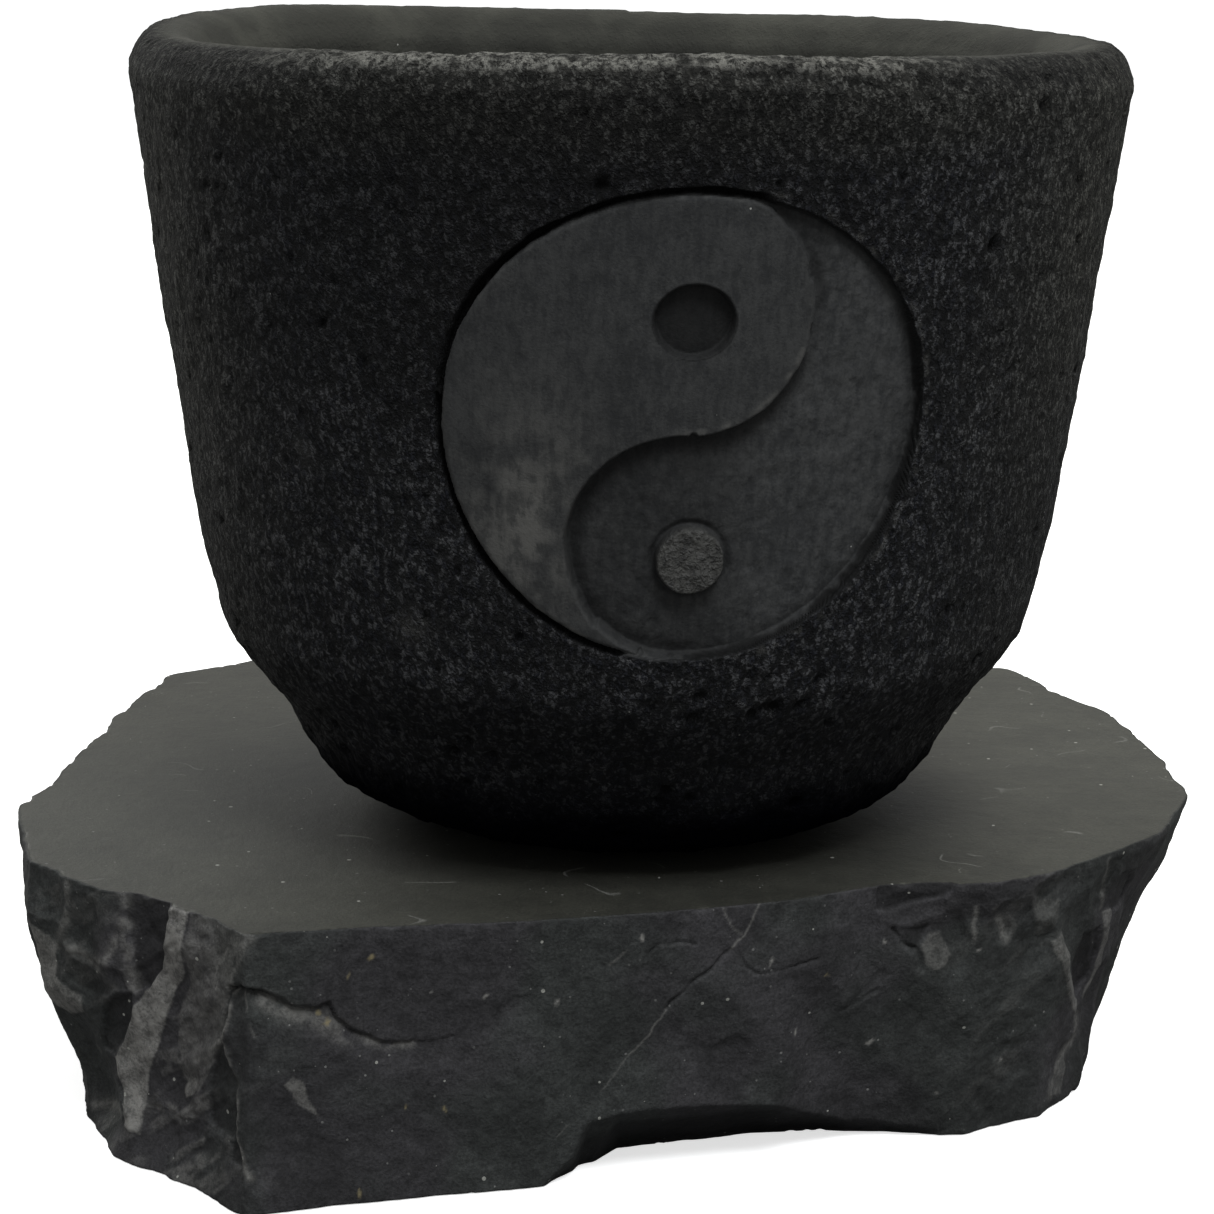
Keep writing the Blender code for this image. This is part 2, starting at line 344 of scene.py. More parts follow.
def carving_pale(m, chipped):
    """Chipped and rubbed edges of the carving, and the button's rough face."""
    tail = smoothstep((-m.v - RELIEF_RADIUS / 2) / 0.008) * smoothstep(-m.s / 0.0004)
    step_edge = bell((m.s + 0.0004) / 0.0005) * m.inside * (1 - m.groove)
    crossing = bell((m.u - 0.005) / 0.006) * bell((m.v + 0.001) / 0.0035)
    head_side = smoothstep((m.v - 0.001) / 0.004) * smoothstep((0.021 - m.v) / 0.006)
    upper_rim = bell((m.r - RELIEF_RADIUS - 0.0006) / 0.0005) * smoothstep((m.u - 0.004) / 0.006)
    groove_edge = bell((RELIEF_RADIUS - 0.00090 - m.r) / 0.00028) * m.reach * chipped
    pale = step_edge * (0.05 + 0.80 * crossing * chipped + 0.40 * head_side * chipped)
    pale = pale + groove_edge * (0.12 + 0.45 * tail) + 0.32 * upper_rim * chipped
    return np.clip(pale + 0.56 * m.button * m.inside, 0, 1)


def carving_shade(m):
    """Painted shade in the groove, the hole, round the button and along the foot of the sunk half's
    walls.
    """
    half = RELIEF_RADIUS / 2
    low_half = smoothstep((half * 1.2 - m.v) / half)
    head_top = smoothstep((m.v - 0.012) / 0.010)
    shadow = bell((m.s - 0.0014) / 0.0016) * m.inside * (0.12 + 0.45 * low_half + 0.50 * head_top)
    foot = 0.42 * smoothstep((m.r - RELIEF_RADIUS + 0.0030) / 0.0022)
    wall = (0.66 + 0.29 * low_half) * smoothstep((m.r - RELIEF_RADIUS + 0.0009 + m.ragged) / 0.0005)
    notch = 0.55 * smoothstep((0.0085 - m.s) / 0.0070) * smoothstep((m.v - 0.017) / 0.010)
    ring = np.maximum.reduce([foot, wall, notch]) * m.sunk * m.inside * (1 - m.hole)
    return np.maximum.reduce([m.groove, 0.68 * m.hole_tone, 0.40 * m.moat, shadow, ring])


def relief(u, v, points):
    """Height of the carving over the wall, and its tones."""
    m = carving_masks(u, v, points)
    chipped = smoothstep((smooth_noise(points, 0.0011, 46) + 0.1) / 0.5)
    patch = bell((u + 0.021) / 0.009) * bell((v + 0.013) / 0.014) * (1 - m.sunk)
    return {
        "height": carving_height(m, points),
        "honed": m.inside * (1 - 0.7 * m.button) * (1 - m.groove),
        "pale": carving_pale(m, chipped),
        "deep": carving_shade(m),
        # tone: painted shade and light on the sunk half, darker on the left by its head and lighter to
        # the right
        "tone": m.inside * m.sunk * (2 * smoothstep((u + 0.001) / 0.018) - 1),
        "worn": patch * smoothstep((rough_noise(points, 0.0045, 48) + 0.7) / 1.1) * m.inside,
        "plain": np.maximum(m.inside, m.groove),
    }


def bowl_grid():
    """The bowl's plain surface: its faces, and for each point its place, its outward direction,
    its place on the unrolled wall and the carving there."""
    line, along, wall_start, lip_start, hollow_start = bowl_profile()
    total = along[-1]
    rows = np.concatenate([
        np.arange(FOOT_STEP, wall_start, FOOT_STEP),
        np.arange(wall_start, lip_start, WALL_STEP),
        np.arange(lip_start, hollow_start, LIP_STEP),
        np.arange(hollow_start, total - HOLLOW_STEP / 2, HOLLOW_STEP),
    ])
    wall = along <= lip_start
    relief_at = np.interp(RELIEF_HEIGHT, line[wall, 1], along[wall])
    relief_r = np.interp(relief_at, along, line[:, 0])
    turns = RELIEF_TURN + math.pi + math.tau * np.arange(COLUMNS) / COLUMNS

    def unroll(s, turn):
        across = np.mod(turn - RELIEF_TURN + math.pi, math.tau) - math.pi
        return across * relief_r / RELIEF_WIDENING, (s - relief_at) / RELIEF_FLATTENING

    reach = RELIEF_RADIUS + RELIEF_MARGIN
    split = np.hypot(*unroll(rows[:, None], turns[None, :])) < reach
    places, faces = band_faces(len(rows), COLUMNS, split, RELIEF_SPLIT)
    s = np.interp(places[:, 0], np.arange(len(rows)), rows)
    turn = turns[0] + math.tau * places[:, 1] / COLUMNS
    radius, height = np.interp(s, along, line[:, 0]), np.interp(s, along, line[:, 1])
    ahead = np.minimum(s + SLOPE_STEP, total)
    behind = np.maximum(s - SLOPE_STEP, 0)
    dr = np.interp(ahead, along, line[:, 0]) - np.interp(behind, along, line[:, 0])
    dh = np.interp(ahead, along, line[:, 1]) - np.interp(behind, along, line[:, 1])
    size = np.hypot(dr, dh)
    out_r, out_h = dh / size, -dr / size
    east, north = np.sin(turn), -np.cos(turn)
    base = np.stack([radius * east, radius * north, BOWL_LOW.z + height], axis=1)

    u, v = unroll(s, turn)
    near = (s > wall_start) & (s < lip_start) & (np.hypot(u, v) < reach + 0.002)
    masks = {key: np.where(near, values, 0.0) for key, values in relief(u, v, base).items()}
    azimuth = np.degrees(np.mod(turn + math.pi, math.tau) - math.pi)
    rugged = smoothstep((azimuth + 52) / 30) * smoothstep((46 - azimuth) / 25)
    inside = smoothstep((s - lip_start - 0.009) / 0.004)
    return SimpleNamespace(
        faces=faces, rows=len(rows), bottom=line[-1, 1], base=base, height=height, out_h=out_h,
        outward=np.stack([out_r * east, out_r * north, out_h], axis=1),
        u=u, v=v, masks=masks, azimuth=azimuth, rugged=rugged, inside=inside,
        outer=s < lip_start,
        foot=smoothstep(s / wall_start),
        lip=smoothstep((s - lip_start + 0.002) / 0.004) * smoothstep((hollow_start - s) / 0.004),
        worn_lip=np.maximum(inside, (1 - rugged) * smoothstep((s - lip_start - 0.0055) / 0.005)),
    )


def bowl_skin(g):
    """Points of the rough, carved surface, and the depth of the pores in it."""
    low = smoothstep((0.036 - g.height) / 0.012) * (1 - g.inside)
    skin = 1 - g.masks["honed"] * 0.93
    wave = 0.00045 * rough_noise(g.base, 0.036, 1, 2) * (1 - g.masks["honed"])
    crust = 0.00020 * rough_noise(g.base, 0.0034, 5) + 0.00013 * smooth_noise(g.base, 0.0012, 9)
    crust = crust * (1 + 1.0 * g.lip * g.rugged + 0.6 * low) * (1 - 0.85 * g.worn_lip)
    small = pores(g.base, 0.0028, 11, 0.50 + 0.25 * low, 0.0004, 0.0010)
    cluster = bell((g.azimuth - 17) / 20) * bell((g.height - 0.031) / 0.005)
    large = pores(g.base, 0.0036, 21, 0.08 + 0.85 * cluster + 0.20 * low, 0.0008, 0.0015)
    holes = np.maximum(0.55 * small, 0.9 * large) * (1 - g.masks["plain"]) * (1 - 0.9 * g.worn_lip)
    shift = g.masks["height"] + wave + (crust * skin - holes) * (0.3 + 0.7 * g.foot) - 0.0007 * g.lip
    points = g.base + g.outward * shift[:, None]
    crown = -0.0009 + 0.0013 * bell((g.azimuth - 4) / 38) + 0.0011 * bell((g.azimuth + 146) / 28)
    crown = crown + 0.0011 * smoothstep((np.abs(g.azimuth) - 95) / 45)
    crown = crown + 0.0019 * bell((g.azimuth + 104) / 28)
    points[:, 2] += crown * UNIT * smoothstep((g.height - 0.095) / 0.022)
    points[:, 2] = np.maximum(points[:, 2], BOWL_LOW.z - 0.00015)
    return points, holes


def bowl_tones(g, holes):
    """The masks that the basalt material reads, one value to a point."""
    azimuth, height = g.azimuth, g.height
    crystals = 0.6 * smooth_noise(g.base, 0.0034, 31) + smooth_noise(g.base, 0.0013, 32)
    facing_up = smoothstep((g.out_h - 0.58 + 0.20 * crystals) / 0.32)
    dust = facing_up * g.lip * (1 - g.inside) * g.rugged * smoothstep((crystals + 0.70) / 0.9)
    spots = 0.30 * bell((g.u + 0.0400) / 0.003) * bell((g.v + 0.0300) / 0.0022)
    spots = spots + 0.22 * bell((g.u + 0.0560) / 0.0016) * bell((g.v + 0.0060) / 0.0022)
    uneven = 0.0016 * rough_noise(g.base, 0.0060, 34, 2)
    turned = smoothstep((0.0330 - height + uneven) / 0.0060)
    shade = g.outer * (0.36 * turned + 0.56 * smoothstep((0.021 - height + uneven) / 0.015))
    # Painted light in upper: a lighter band under the lip, and lighter, warmer sides.
    top_band = 0.7 * smoothstep((height - 0.103) / 0.008)
    left_side = smoothstep((-azimuth - 38) / 32) * (0.35 + 0.45 * smoothstep((height - 0.03) / 0.06))
    right_side = smoothstep((azimuth - 34) / 32) * (0.25 + 0.75 * smoothstep((height - 0.045) / 0.055))
    return {
        "honed": g.masks["honed"],
        "pale": np.clip(g.masks["pale"] + spots, 0, 1),
        # deep is painted shade: the carving's recesses, and the pores, darker the deeper they are
        "deep": np.clip(np.maximum(g.masks["deep"], holes / 0.0011), 0, 1),
        "tone": g.masks["tone"],
        "worn": g.masks["worn"],
        "dust": dust,
        "smooth": g.worn_lip,
        "upper": np.maximum.reduce([top_band, left_side, right_side]),
        "shade": np.maximum(shade, 0.45 * g.lip * (1 - g.rugged) * (1 - g.worn_lip)),
        # painted shade: the front above the relief is darkened
        "painted_front_shade": smoothstep((height - 0.055) / 0.035) * bell((azimuth + 8) / 40) * (1 - 0.6 * g.lip),
    }


def make_bowl(material):
    grid = bowl_grid()
    points, holes = bowl_skin(grid)
    tones = bowl_tones(grid, holes)
    poles = [(0.0, 0.0, BOWL_LOW.z), (0.0, 0.0, BOWL_LOW.z + grid.bottom)]
    points = np.vstack([points, poles])
    close_band(grid.faces, grid.rows, COLUMNS, len(points) - 2, len(points) - 1)
    tones = {key: np.append(values, [values[0], values[-1]]) for key, values in tones.items()}
    return make_piece("carved_bowl", points, grid.faces, tones, material, "bowl", "mortar")


# ---------------------------------------------------------------- slab

# The slab's side is described unrolled, in millimetres: distance along the side from the middle
# of the front, positive to the viewer's right, and height.
# Hollows where flakes split off: depth, place, half width, half height, turn in degrees.
FLAKES = (
    (1.2, (-87, 33.5), 5, 6.5, 20),
    (1, (-89.5, 25), 6.5, 4, -10),
    (1, (-96, 37.5), 5, 5, 0),
    (1.2, (-97.5, 28), 5, 6, 0),
    (1.2, (-92, 14), 8, 6, 25),
    (1.2, (-88, 5), 9, 5, 20),
    (0.7, (-74, 4.5), 7, 5, 5),
    (0.8, (-64.5, 4), 7.5, 5.5, 0),
    (0.9, (-65, 29), 8, 14, 10),
    (0.8, (-70.5, 15), 5.5, 7.5, 12),
    (0.6, (-53.5, 22), 3.4, 9, -8),
    (0.3, (-14, 27.5), 3.5, 2.2, 0),
    (0.4, (17, 18.5), 3, 2, -15),
    (0.7, (45, 36.8), 5.2, 2.6, 8),
    (1.3, (50.5, 31), 6, 6, 0),
    (0.8, (54.5, 36), 3, 7, -10),
    (1.1, (61, 34.5), 5, 5, 0),
    (0.9, (66.5, 37), 4.6, 4, 0),
    (0.9, (65.5, 29), 5.2, 4.5, 10),
    (1.1, (72, 36.5), 4.8, 5.5, 0),
    (1.2, (76, 31), 4.6, 9, -35),
    (1, (82, 33), 4.4, 7, -20),
    (1, (80.5, 22), 4, 9, -28),
    (1, (66, 12), 15, 13, 0),
    (1.2, (95, 33), 4.5, 7, 0),
    (1, (82, 5), 7, 5, 15),
    (1.2, (92, 12), 5.5, 8, 0),
    (0.6, (46, 12), 7.5, 16, 0),
)
# Places where the side stands prouder than the CAD solid, or further in, in the same form.
SWELLS = (
    (2, (-100, 28), 14, 10, 0),
    (2.4, (-76, -1), 15, 8, 0),
    (-2.4, (-94, 7), 8, 6, 0),
    (1, (-55, 0), 12, 6, 0),
    (1, (112, 38), 22, 14, 0),
    (1.3, (-116, 36), 16, 14, 0),
    (-2, (97, 21), 9, 10, 0),
    (2, (86, 1), 10, 6, 0),
)
# Facets left by single blows, each a flat patch with a sharp outline: tone from -1 dark to 1 pale,
# depth, and corners.
FACETS = (
    (-0.6, 0.7, (
        (-79.5, 42), (-70.4, 42), (-71.6, 36), (-73, 31), (-75.3, 27.6), (-78.2, 26.4), (-78, 32),
        (-79, 37)
    )),
    (-0.45, 0.7, (
        (-78.8, 26), (-79.3, 22.5), (-82, 17.8), (-84.5, 14.8), (-87.6, 15.2), (-86.4, 19),
        (-85.8, 21.8), (-82, 24.6)
    )),
    (-0.15, 0.2, ((-90.6, 40.3), (-80.4, 40.6), (-79.8, 33.5), (-82, 31), (-88, 30.2), (-93, 30.4))),
    (-0.25, 0.4, (
        (-95, 29.4), (-87, 29.2), (-80.2, 28.8), (-79.4, 26.4), (-84, 24.4), (-90, 23.2),
        (-94.6, 25.2)
    )),
    (-0.5, 0.6, (
        (-59.1, 23.8), (-57.9, 20.4), (-56.2, 18), (-56, 13.5), (-55.9, 9.9), (-60, 9.5),
        (-63.4, 10.4), (-62.8, 15), (-61.4, 20)
    )),
    (-0.6, 0.4, ((-56, 10.3), (-54.2, 7.6), (-54, 6.7), (-57.1, 6.5), (-56.9, 8.6))),
    (-0.5, 0.2, ((-52.2, 6.2), (-51.9, 4.4), (-52.8, 1.8), (-53.5, 3))),
    (-0.2, 0.1, ((-48.6, 14), (-45.4, 14.1), (-43, 11.5), (-44, 9.8), (-47.6, 11))),
    (0.76, -0.3, (
        (-70.2, 41.5), (-66.4, 41.5), (-67.2, 36), (-68.2, 31.4), (-71, 27.2), (-73, 23),
        (-75.4, 17), (-77.8, 12), (-78.2, 4.4), (-81.6, 4.8), (-82.2, 10), (-84, 14.4),
        (-81.2, 18.4), (-78.6, 24), (-75.4, 27.2), (-73, 31), (-71.3, 35.6)
    )),
    (0.3, 0, (
        (-66, 40.8), (-53.2, 41), (-56.6, 33.5), (-58.9, 25), (-61.6, 20), (-65.8, 13.8),
        (-70.6, 14.4), (-71.2, 20), (-70, 25), (-67.4, 30)
    )),
    (0.6, -0.2, (
        (-101, 32), (-95.2, 29.2), (-96.2, 24.2), (-91, 22.4), (-90.6, 20.2), (-95.6, 18),
        (-101, 20)
    )),
    (0.6, -0.1, ((-70.4, 12.8), (-69.2, 15), (-67, 15.3), (-66.8, 13.4), (-69.4, 12.1))),
    (0.5, 0, (
        (-48.2, 18.4), (-46.6, 19.9), (-45.4, 19), (-44.8, 16.6), (-43.6, 13.4), (-46, 15.4),
        (-47.2, 17.4)
    )),
    (-0.6, 0.6, ((39.8, 42), (51, 42), (49.2, 38.6), (45.6, 38.2), (41.6, 37), (39.5, 37.6))),
    (-0.45, 0.4, ((43, 34.6), (47.6, 34.2), (46.4, 32), (45.4, 30.3), (44, 31.8))),
    (0.3, -0.2, (
        (46.3, 31), (47.6, 33.1), (49.3, 33.2), (50.6, 31), (51.5, 29.4), (50.6, 27.7), (49, 27.3),
        (47.5, 28.4)
    )),
    (0.18, -0.1, ((58, 34), (60, 35.1), (62.1, 33), (61, 30.4), (59.5, 32))),
    (0.18, -0.2, ((63, 37.9), (66, 36.6), (69.6, 36), (70.1, 33), (68, 30.5), (66, 31), (65, 34))),
    (0.45, -0.3, (
        (69, 29.4), (71.6, 30.2), (75, 27.1), (78.6, 22), (81.2, 18.5), (84.6, 15), (84, 13.4),
        (81.4, 15), (78, 18.4), (75.4, 21.6), (72.4, 25), (70.4, 27.4)
    )),
    (-0.5, 0.7, (
        (80.4, 27.6), (84.6, 27.6), (86.6, 22), (86.6, 18.4), (84.6, 15.9), (82, 18), (80.7, 22.4)
    )),
    (0.4, -0.2, (
        (84, 30.2), (86.6, 30.2), (88.6, 25), (90.6, 19), (88.6, 16.4), (86.6, 15), (87.5, 19.5),
        (86.9, 24), (85.2, 27.5)
    )),
    (-0.5, 0.7, (
        (85.4, 36.2), (90, 35.6), (94.2, 32.6), (93.6, 29.8), (88.6, 29.3), (87.1, 26.8),
        (86.9, 31.5)
    )),
    (-0.3, 0.3, ((80.1, 39.8), (84.2, 39.7), (83.2, 36.5), (82.6, 33.4), (81.2, 34), (80.6, 37))),
    (0.3, -0.1, ((77, 1.8), (79.4, 5.6), (82.6, 6.7), (83.2, 4.5), (80.6, 1.2))),
    (-0.2, 0.2, (
        (34.8, 22), (38, 24.2), (41, 25.6), (43, 27.2), (41.4, 27.9), (39.8, 25.6), (37.4, 22.2)
    )),
)
# Cracks: half width, depth and the points they run through.
CRACKS = (
    (0.3, 1.2, ((-57, 32.2), (-54, 33), (-51, 32.5), (-48, 31), (-46, 30), (-43.5, 29.7))),
    (0.22, 0.6, ((-43.5, 29.7), (-41.5, 30.2), (-40.4, 28), (-37.5, 25.3), (-34.5, 23.7))),
    (0.15, 0.25, ((-34.5, 23.7), (-29, 23.6), (-24, 24))),
    (0.26, 0.6, ((-56.7, 32.3), (-58, 28), (-59.2, 24.8))),
    (0.24, 0.5, ((15.8, 34.5), (13.5, 32), (10.5, 29.8), (8.6, 27.6), (7.2, 26))),
    (0.2, 0.35, ((17.6, 33.6), (18.7, 31.2), (20.3, 30.4), (24, 30.4))),
    (0.22, 0.5, ((24, 30.4), (27, 30.9), (30.5, 31.4))),
    (0.2, 0.4, ((4.3, 34.8), (5.5, 36), (8, 36.2), (10.8, 35.8))),
    (0.18, 0.2, ((-6, 31), (-3, 31.7))),
    (0.16, 0.3, ((39.3, 40.6), (39.2, 36), (39, 31))),
    (0.3, 0.7, ((42.4, 34.2), (43.6, 32.2), (45.8, 30.8), (47.3, 27.3))),
    (0.3, 0.25, ((41, 24.6), (38.5, 23), (35.5, 22))),
    (0.18, 0.15, ((-78, 8.8), (-70, 9.1), (-64, 9.6), (-56.5, 9))),
)
# Pale seams and rubbed edges: half width, strength and points.
SEAMS = (
    (0.4, 0.6, (
        (-56, 33), (-57.4, 27), (-59, 24), (-57.5, 20), (-55.5, 16), (-55.8, 11), (-54, 8),
        (-52.5, 5)
    )),
    (0.22, 0.35, ((-53.5, 32), (-53, 28.5), (-52, 26))),
    (1.3, 0.5, ((-50.5, 31), (-46.5, 28.8), (-43, 27.6), (-39, 25.2))),
    (0.6, 0.45, ((-39, 25.2), (-34.5, 23.2), (-30, 23))),
    (1, 0.45, ((-52.3, 40.5), (-55.2, 36.5), (-56.5, 33))),
    (0.7, 0.5, ((-57.5, 37.5), (-60.5, 34), (-61, 31.5))),
    (0.7, 0.45, ((-58.5, 29.5), (-62, 27), (-65, 25.5))),
    (0.8, 0.5, ((-59.8, 23.5), (-63, 20.5), (-66.5, 18.5))),
    (0.9, 0.4, ((-79.3, 40.5), (-79, 33), (-78.2, 27))),
    (0.9, 0.35, ((-90.5, 40), (-92, 34), (-95.5, 29))),
    (0.8, 0.35, ((-82, 26), (-87, 29), (-92, 29.5))),
    (0.7, 0.45, ((-92.5, 30.5), (-88, 28.8), (-82.5, 30), (-80.5, 34))),
    (0.7, 0.4, ((-97, 2.5), (-90, 4.5), (-84, 6))),
    (0.6, 0.35, ((-78, 8.8), (-74, 9.2), (-71.5, 9.8))),
    (0.5, 0.4, ((80, 40), (81.5, 36), (83.5, 31))),
    (1.1, 0.4, ((84, 8.5), (79.5, 5.5), (76.5, 2.5))),
    (0.8, 0.45, ((84.5, 13.5), (85.6, 10.5), (85, 8))),
    (0.6, 0.45, ((57, 36.5), (58.8, 34), (60.4, 31))),
    (0.3, 0.45, ((54, 37), (54.4, 34), (55.3, 31))),
    (0.15, 0.45, ((20, 41), (18, 36.5), (15.8, 34.5))),
    (0.13, 0.5, ((7.2, 26), (4.5, 22), (1.3, 19))),
    (0.12, 0.22, ((1.3, 19), (0, 17), (-2.5, 14))),
    (0.12, 0.22, ((-7.5, 9), (-9, 7.5))),
    (0.14, 0.3, ((14.5, 40.8), (16, 38.2), (17.9, 36.3))),
    (0.2, 0.3, ((1, 35.5), (-1.5, 33.6))),
)
# Dark patches, placed like the hollows, with a strength in place of the depth. The two broad ones along
# the bottom of the front are painted shade.
DARK_PATCHES = (
    (0.34, (-40, 16), 16, 22, 0),
    (0.20, (-53.8, 23), 3, 7, -8),
    (0.30, (-16.5, 28), 2.2, 1.8, 0),
    (0.40, (-12.6, 26.8), 1.5, 1.2, 0),
    (0.15, (14, 19), 3.5, 1.8, 0),
    (0.22, (47, 16), 7, 17, 0),
    (0.45, (46, 3), 24, 8, -6),
    (0.18, (-60, 2), 26, 5, 0),
    (0.15, (38.5, 23), 4, 3, 0),
    (0.50, (62, 31.5), 1.6, 1.6, 0),
    (0.40, (69.5, 31.5), 1.8, 1, 0),
)
# Chips of pale and of rusty mineral: place, radius, strength.
PALE_CHIPS = (
    ((-9, 28.4), 0.60, 0.9),
    ((-19.5, 29.8), 0.45, 1),
    ((-27, 31), 0.40, 0.9),
    ((3, 37.4), 0.55, 1),
    ((22.2, 32), 0.50, 0.9),
    ((27.4, 20.2), 0.65, 1),
    ((40.8, 16.2), 0.85, 0.8),
    ((64.2, 10.7), 0.60, 1),
    ((41, 32.5), 0.35, 1),
    ((52.2, 7.5), 0.50, 0.7),
    ((55.9, 30.2), 0.50, 0.8),
    ((-60, 31.8), 0.60, 0.70),
    ((-65.8, 21.4), 0.70, 0.50),
)
RUST_CHIPS = (
    ((-43, 28.7), 0.80, 0.7),
    ((-41.6, 27.3), 0.80, 0.8),
    ((-25.3, 12.8), 0.50, 0.9),
    ((-30.8, 13.8), 0.40, 0.8),
    ((-38.9, 33.6), 0.55, 0.6),
    ((-35.5, 36.2), 0.60, 0.9),
    ((-37.7, 1.5), 0.75, 1),
    ((31.8, 28.6), 0.40, 0.6),
)
MM = 0.001
FRONT_REACH = 98  # the described front runs this far either side of its middle
TURN_SPAN = 9  # columns either side of one over which the side's direction is taken
LID_WIDTH = 0.060  # the top and the underside shrink to their poles over this width
LID_DETAIL = 0.056  # and carry rows of points this far in
TOP_CHIPS, LOW_CHIPS, FAR_FLAKES = 300, 12, 95
CHIP_REACH = 0.0045  # how far from the edge's level its chips can move points
RAY_MARGIN = 0.0003  # the lowest ray that measures the CAD slab runs this far above its underside
EDGE_BEVEL = 0.0013  # the CAD slab's top edge is bevelled this far down; the real one is sharp


def slab_radius():
    """A function giving the CAD slab's radius from its middle, for an angle and a height."""
    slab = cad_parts["base_slab"]
    tree = BVHTree.FromPolygons(
        [v.co.copy() for v in slab.data.vertices], [p.vertices[:] for p in slab.data.polygons]
    )
    def radius(angle, height):
        z = min(max(height, SLAB_LOW.z + RAY_MARGIN), SLAB_TOP - EDGE_BEVEL)
        start = Vector((*SLAB_MIDDLE, z))
        hit = tree.ray_cast(start, Vector((math.sin(angle), -math.cos(angle), 0.0)))
        return (hit[0] - start).length

    return radius


def slab_columns(radius):
    """Columns round the slab, finer in front: distance along the side and angle of each, and the
    whole way round."""
    angles = np.linspace(-math.pi, math.pi, SLAB_RAYS + 1)
    radii = np.array([radius(a, SLAB_TOP * 0.5) for a in angles])
    edge = np.stack([radii * np.sin(angles), -radii * np.cos(angles)], axis=1)
    along = np.concatenate([[0], np.cumsum(np.linalg.norm(np.diff(edge, axis=0), axis=1))])
    along -= np.interp(0.0, angles, along)
    front = smoothstep((FINE_REACH - np.abs((along[1:] + along[:-1]) / 2)) / FINE_FADE)
    step = SLAB_COARSE + (SLAB_FINE - SLAB_COARSE) * front
    count = np.concatenate([[0], np.cumsum(np.diff(along) / step)])
    columns = int(count[-1])
    picked = np.interp(np.arange(columns) * count[-1] / columns, count, along)
    return picked, np.interp(picked, along, angles), along[-1] - along[0]


def edge_steps(limit, first):
    """Distances in from an edge, fine near it and growing."""
    steps, here, step = [], 0.0, first
    while here + step < limit:
        here += step
        steps.append(here)
        step *= 1.10
    return steps


def blur(grid, times):
    for _ in range(times):
        grid = (grid + np.roll(grid, 1, axis=1) + np.roll(grid, -1, axis=1)) / 3
        padded = np.concatenate([grid[:1], grid, grid[-1:]])
        grid = (padded[:-2] + padded[1:-1] + padded[2:]) / 3
    return grid


def oval(s, z, place, half_width, half_height, turn):
    """Squared distance from an oval's centre, 1 on its outline."""
    c, k = math.cos(math.radians(turn)), math.sin(math.radians(turn))
    p, q = s - place[0] * MM, z - place[1] * MM
    return ((p * c - q * k) / (half_width * MM)) ** 2 + ((p * k + q * c) / (half_height * MM)) ** 2


def line_gap(s, z, path):
    """Distance from each point to a broken line."""
    nearest = np.full(s.shape, 1.0)
    for (x0, z0), (x1, z1) in zip(path, path[1:]):
        x0, z0, x1, z1 = x0 * MM, z0 * MM, x1 * MM, z1 * MM
        run = (x1 - x0) ** 2 + (z1 - z0) ** 2
        t = np.clip(((s - x0) * (x1 - x0) + (z - z0) * (z1 - z0)) / run, 0, 1)
        nearest = np.minimum(nearest, np.hypot(s - x0 - t * (x1 - x0), z - z0 - t * (z1 - z0)))
    return nearest


def facet_gap(s, z, corners):
    """Distance to a closed outline, positive inside it."""
    inside = np.zeros(s.shape, bool)
    for (x0, z0), (x1, z1) in zip(corners, corners[1:] + corners[:1]):
        if z0 == z1:
            continue
        spans = (z0 * MM > z) != (z1 * MM > z)
        cross = x0 * MM + (z - z0 * MM) * (x1 - x0) / (z1 - z0)
        inside ^= spans & (s < cross)
    gap = line_gap(s, z, corners + corners[:1])
    return np.where(inside, gap, -gap)


def far_flakes(round_trip):
    """Flake hollows for the sides and the back, placed at random but always the same."""
    rng = np.random.default_rng(17)
    last = round_trip / MM - FRONT_REACH
    flakes = []
    for _ in range(FAR_FLAKES):
        place = (rng.uniform(FRONT_REACH, last), rng.uniform(0, 38))
        half_width, half_height = rng.uniform(4, 14), rng.uniform(4, 12)
        from_front = min(place[0], last + FRONT_REACH - place[0]) - FRONT_REACH
        depth = rng.uniform(0.10, 0.20) * min(half_width, half_height)
        depth *= 0.3 + 0.7 * min(1.0, from_front / 60)
        flakes.append((depth, place, half_width, half_height, rng.uniform(-60, 60)))
    return flakes


def strike_flakes(side, round_trip):
    """Flake hollows and swells of the whole round."""
    ws, wz = side.wander_s, side.wander_z
    for deep, *shape in FLAKES:
        hollow = deep * MM * (1 - oval(ws, wz, *shape))
        side.depth = np.maximum(side.depth, hollow)
    lap = np.where(ws < 0, ws + round_trip, ws)
    for deep, *shape in far_flakes(round_trip):
        hollow = deep * MM * (1 - oval(lap, wz, *shape))
        side.depth = np.maximum(side.depth, hollow)
    for rise, *shape in SWELLS:
        side.depth -= rise * MM * np.exp(-oval(side.s, side.z, *shape))


def tear(side):
    """Slanting fibres where the stone tore off, round the front's two corners."""
    s, z = side.s, side.z
    torn = bell((s + 0.066) / 0.011) + 0.6 * bell((s + 0.090) / 0.012) + 0.5 * bell((s - 0.066) / 0.012)
    side.torn = torn * smoothstep((s + 0.004) / -0.046 + (s > 0) * 2)
    slant = np.stack([s * 0.82 + z * 0.57, (z * 0.82 - s * 0.57) * 4.0, side.points[:, 2] * 0], axis=1)
    side.fibres = rough_noise(slant, 0.0085, 96, 3)
    side.depth -= 0.00035 * side.fibres * side.torn


def cut_facets(side):
    for tone, deep, corners in FACETS:
        gap = facet_gap(side.fine_s, side.fine_z, corners)
        side.depth += deep * MM * smoothstep(gap / 0.0009 + 0.5)
        flat = smoothstep(gap / 0.00035 + 0.5) * abs(tone)
        if tone < 0:
            side.dark = np.maximum(side.dark, flat)
        else:
            side.lit = np.maximum(side.lit, flat)


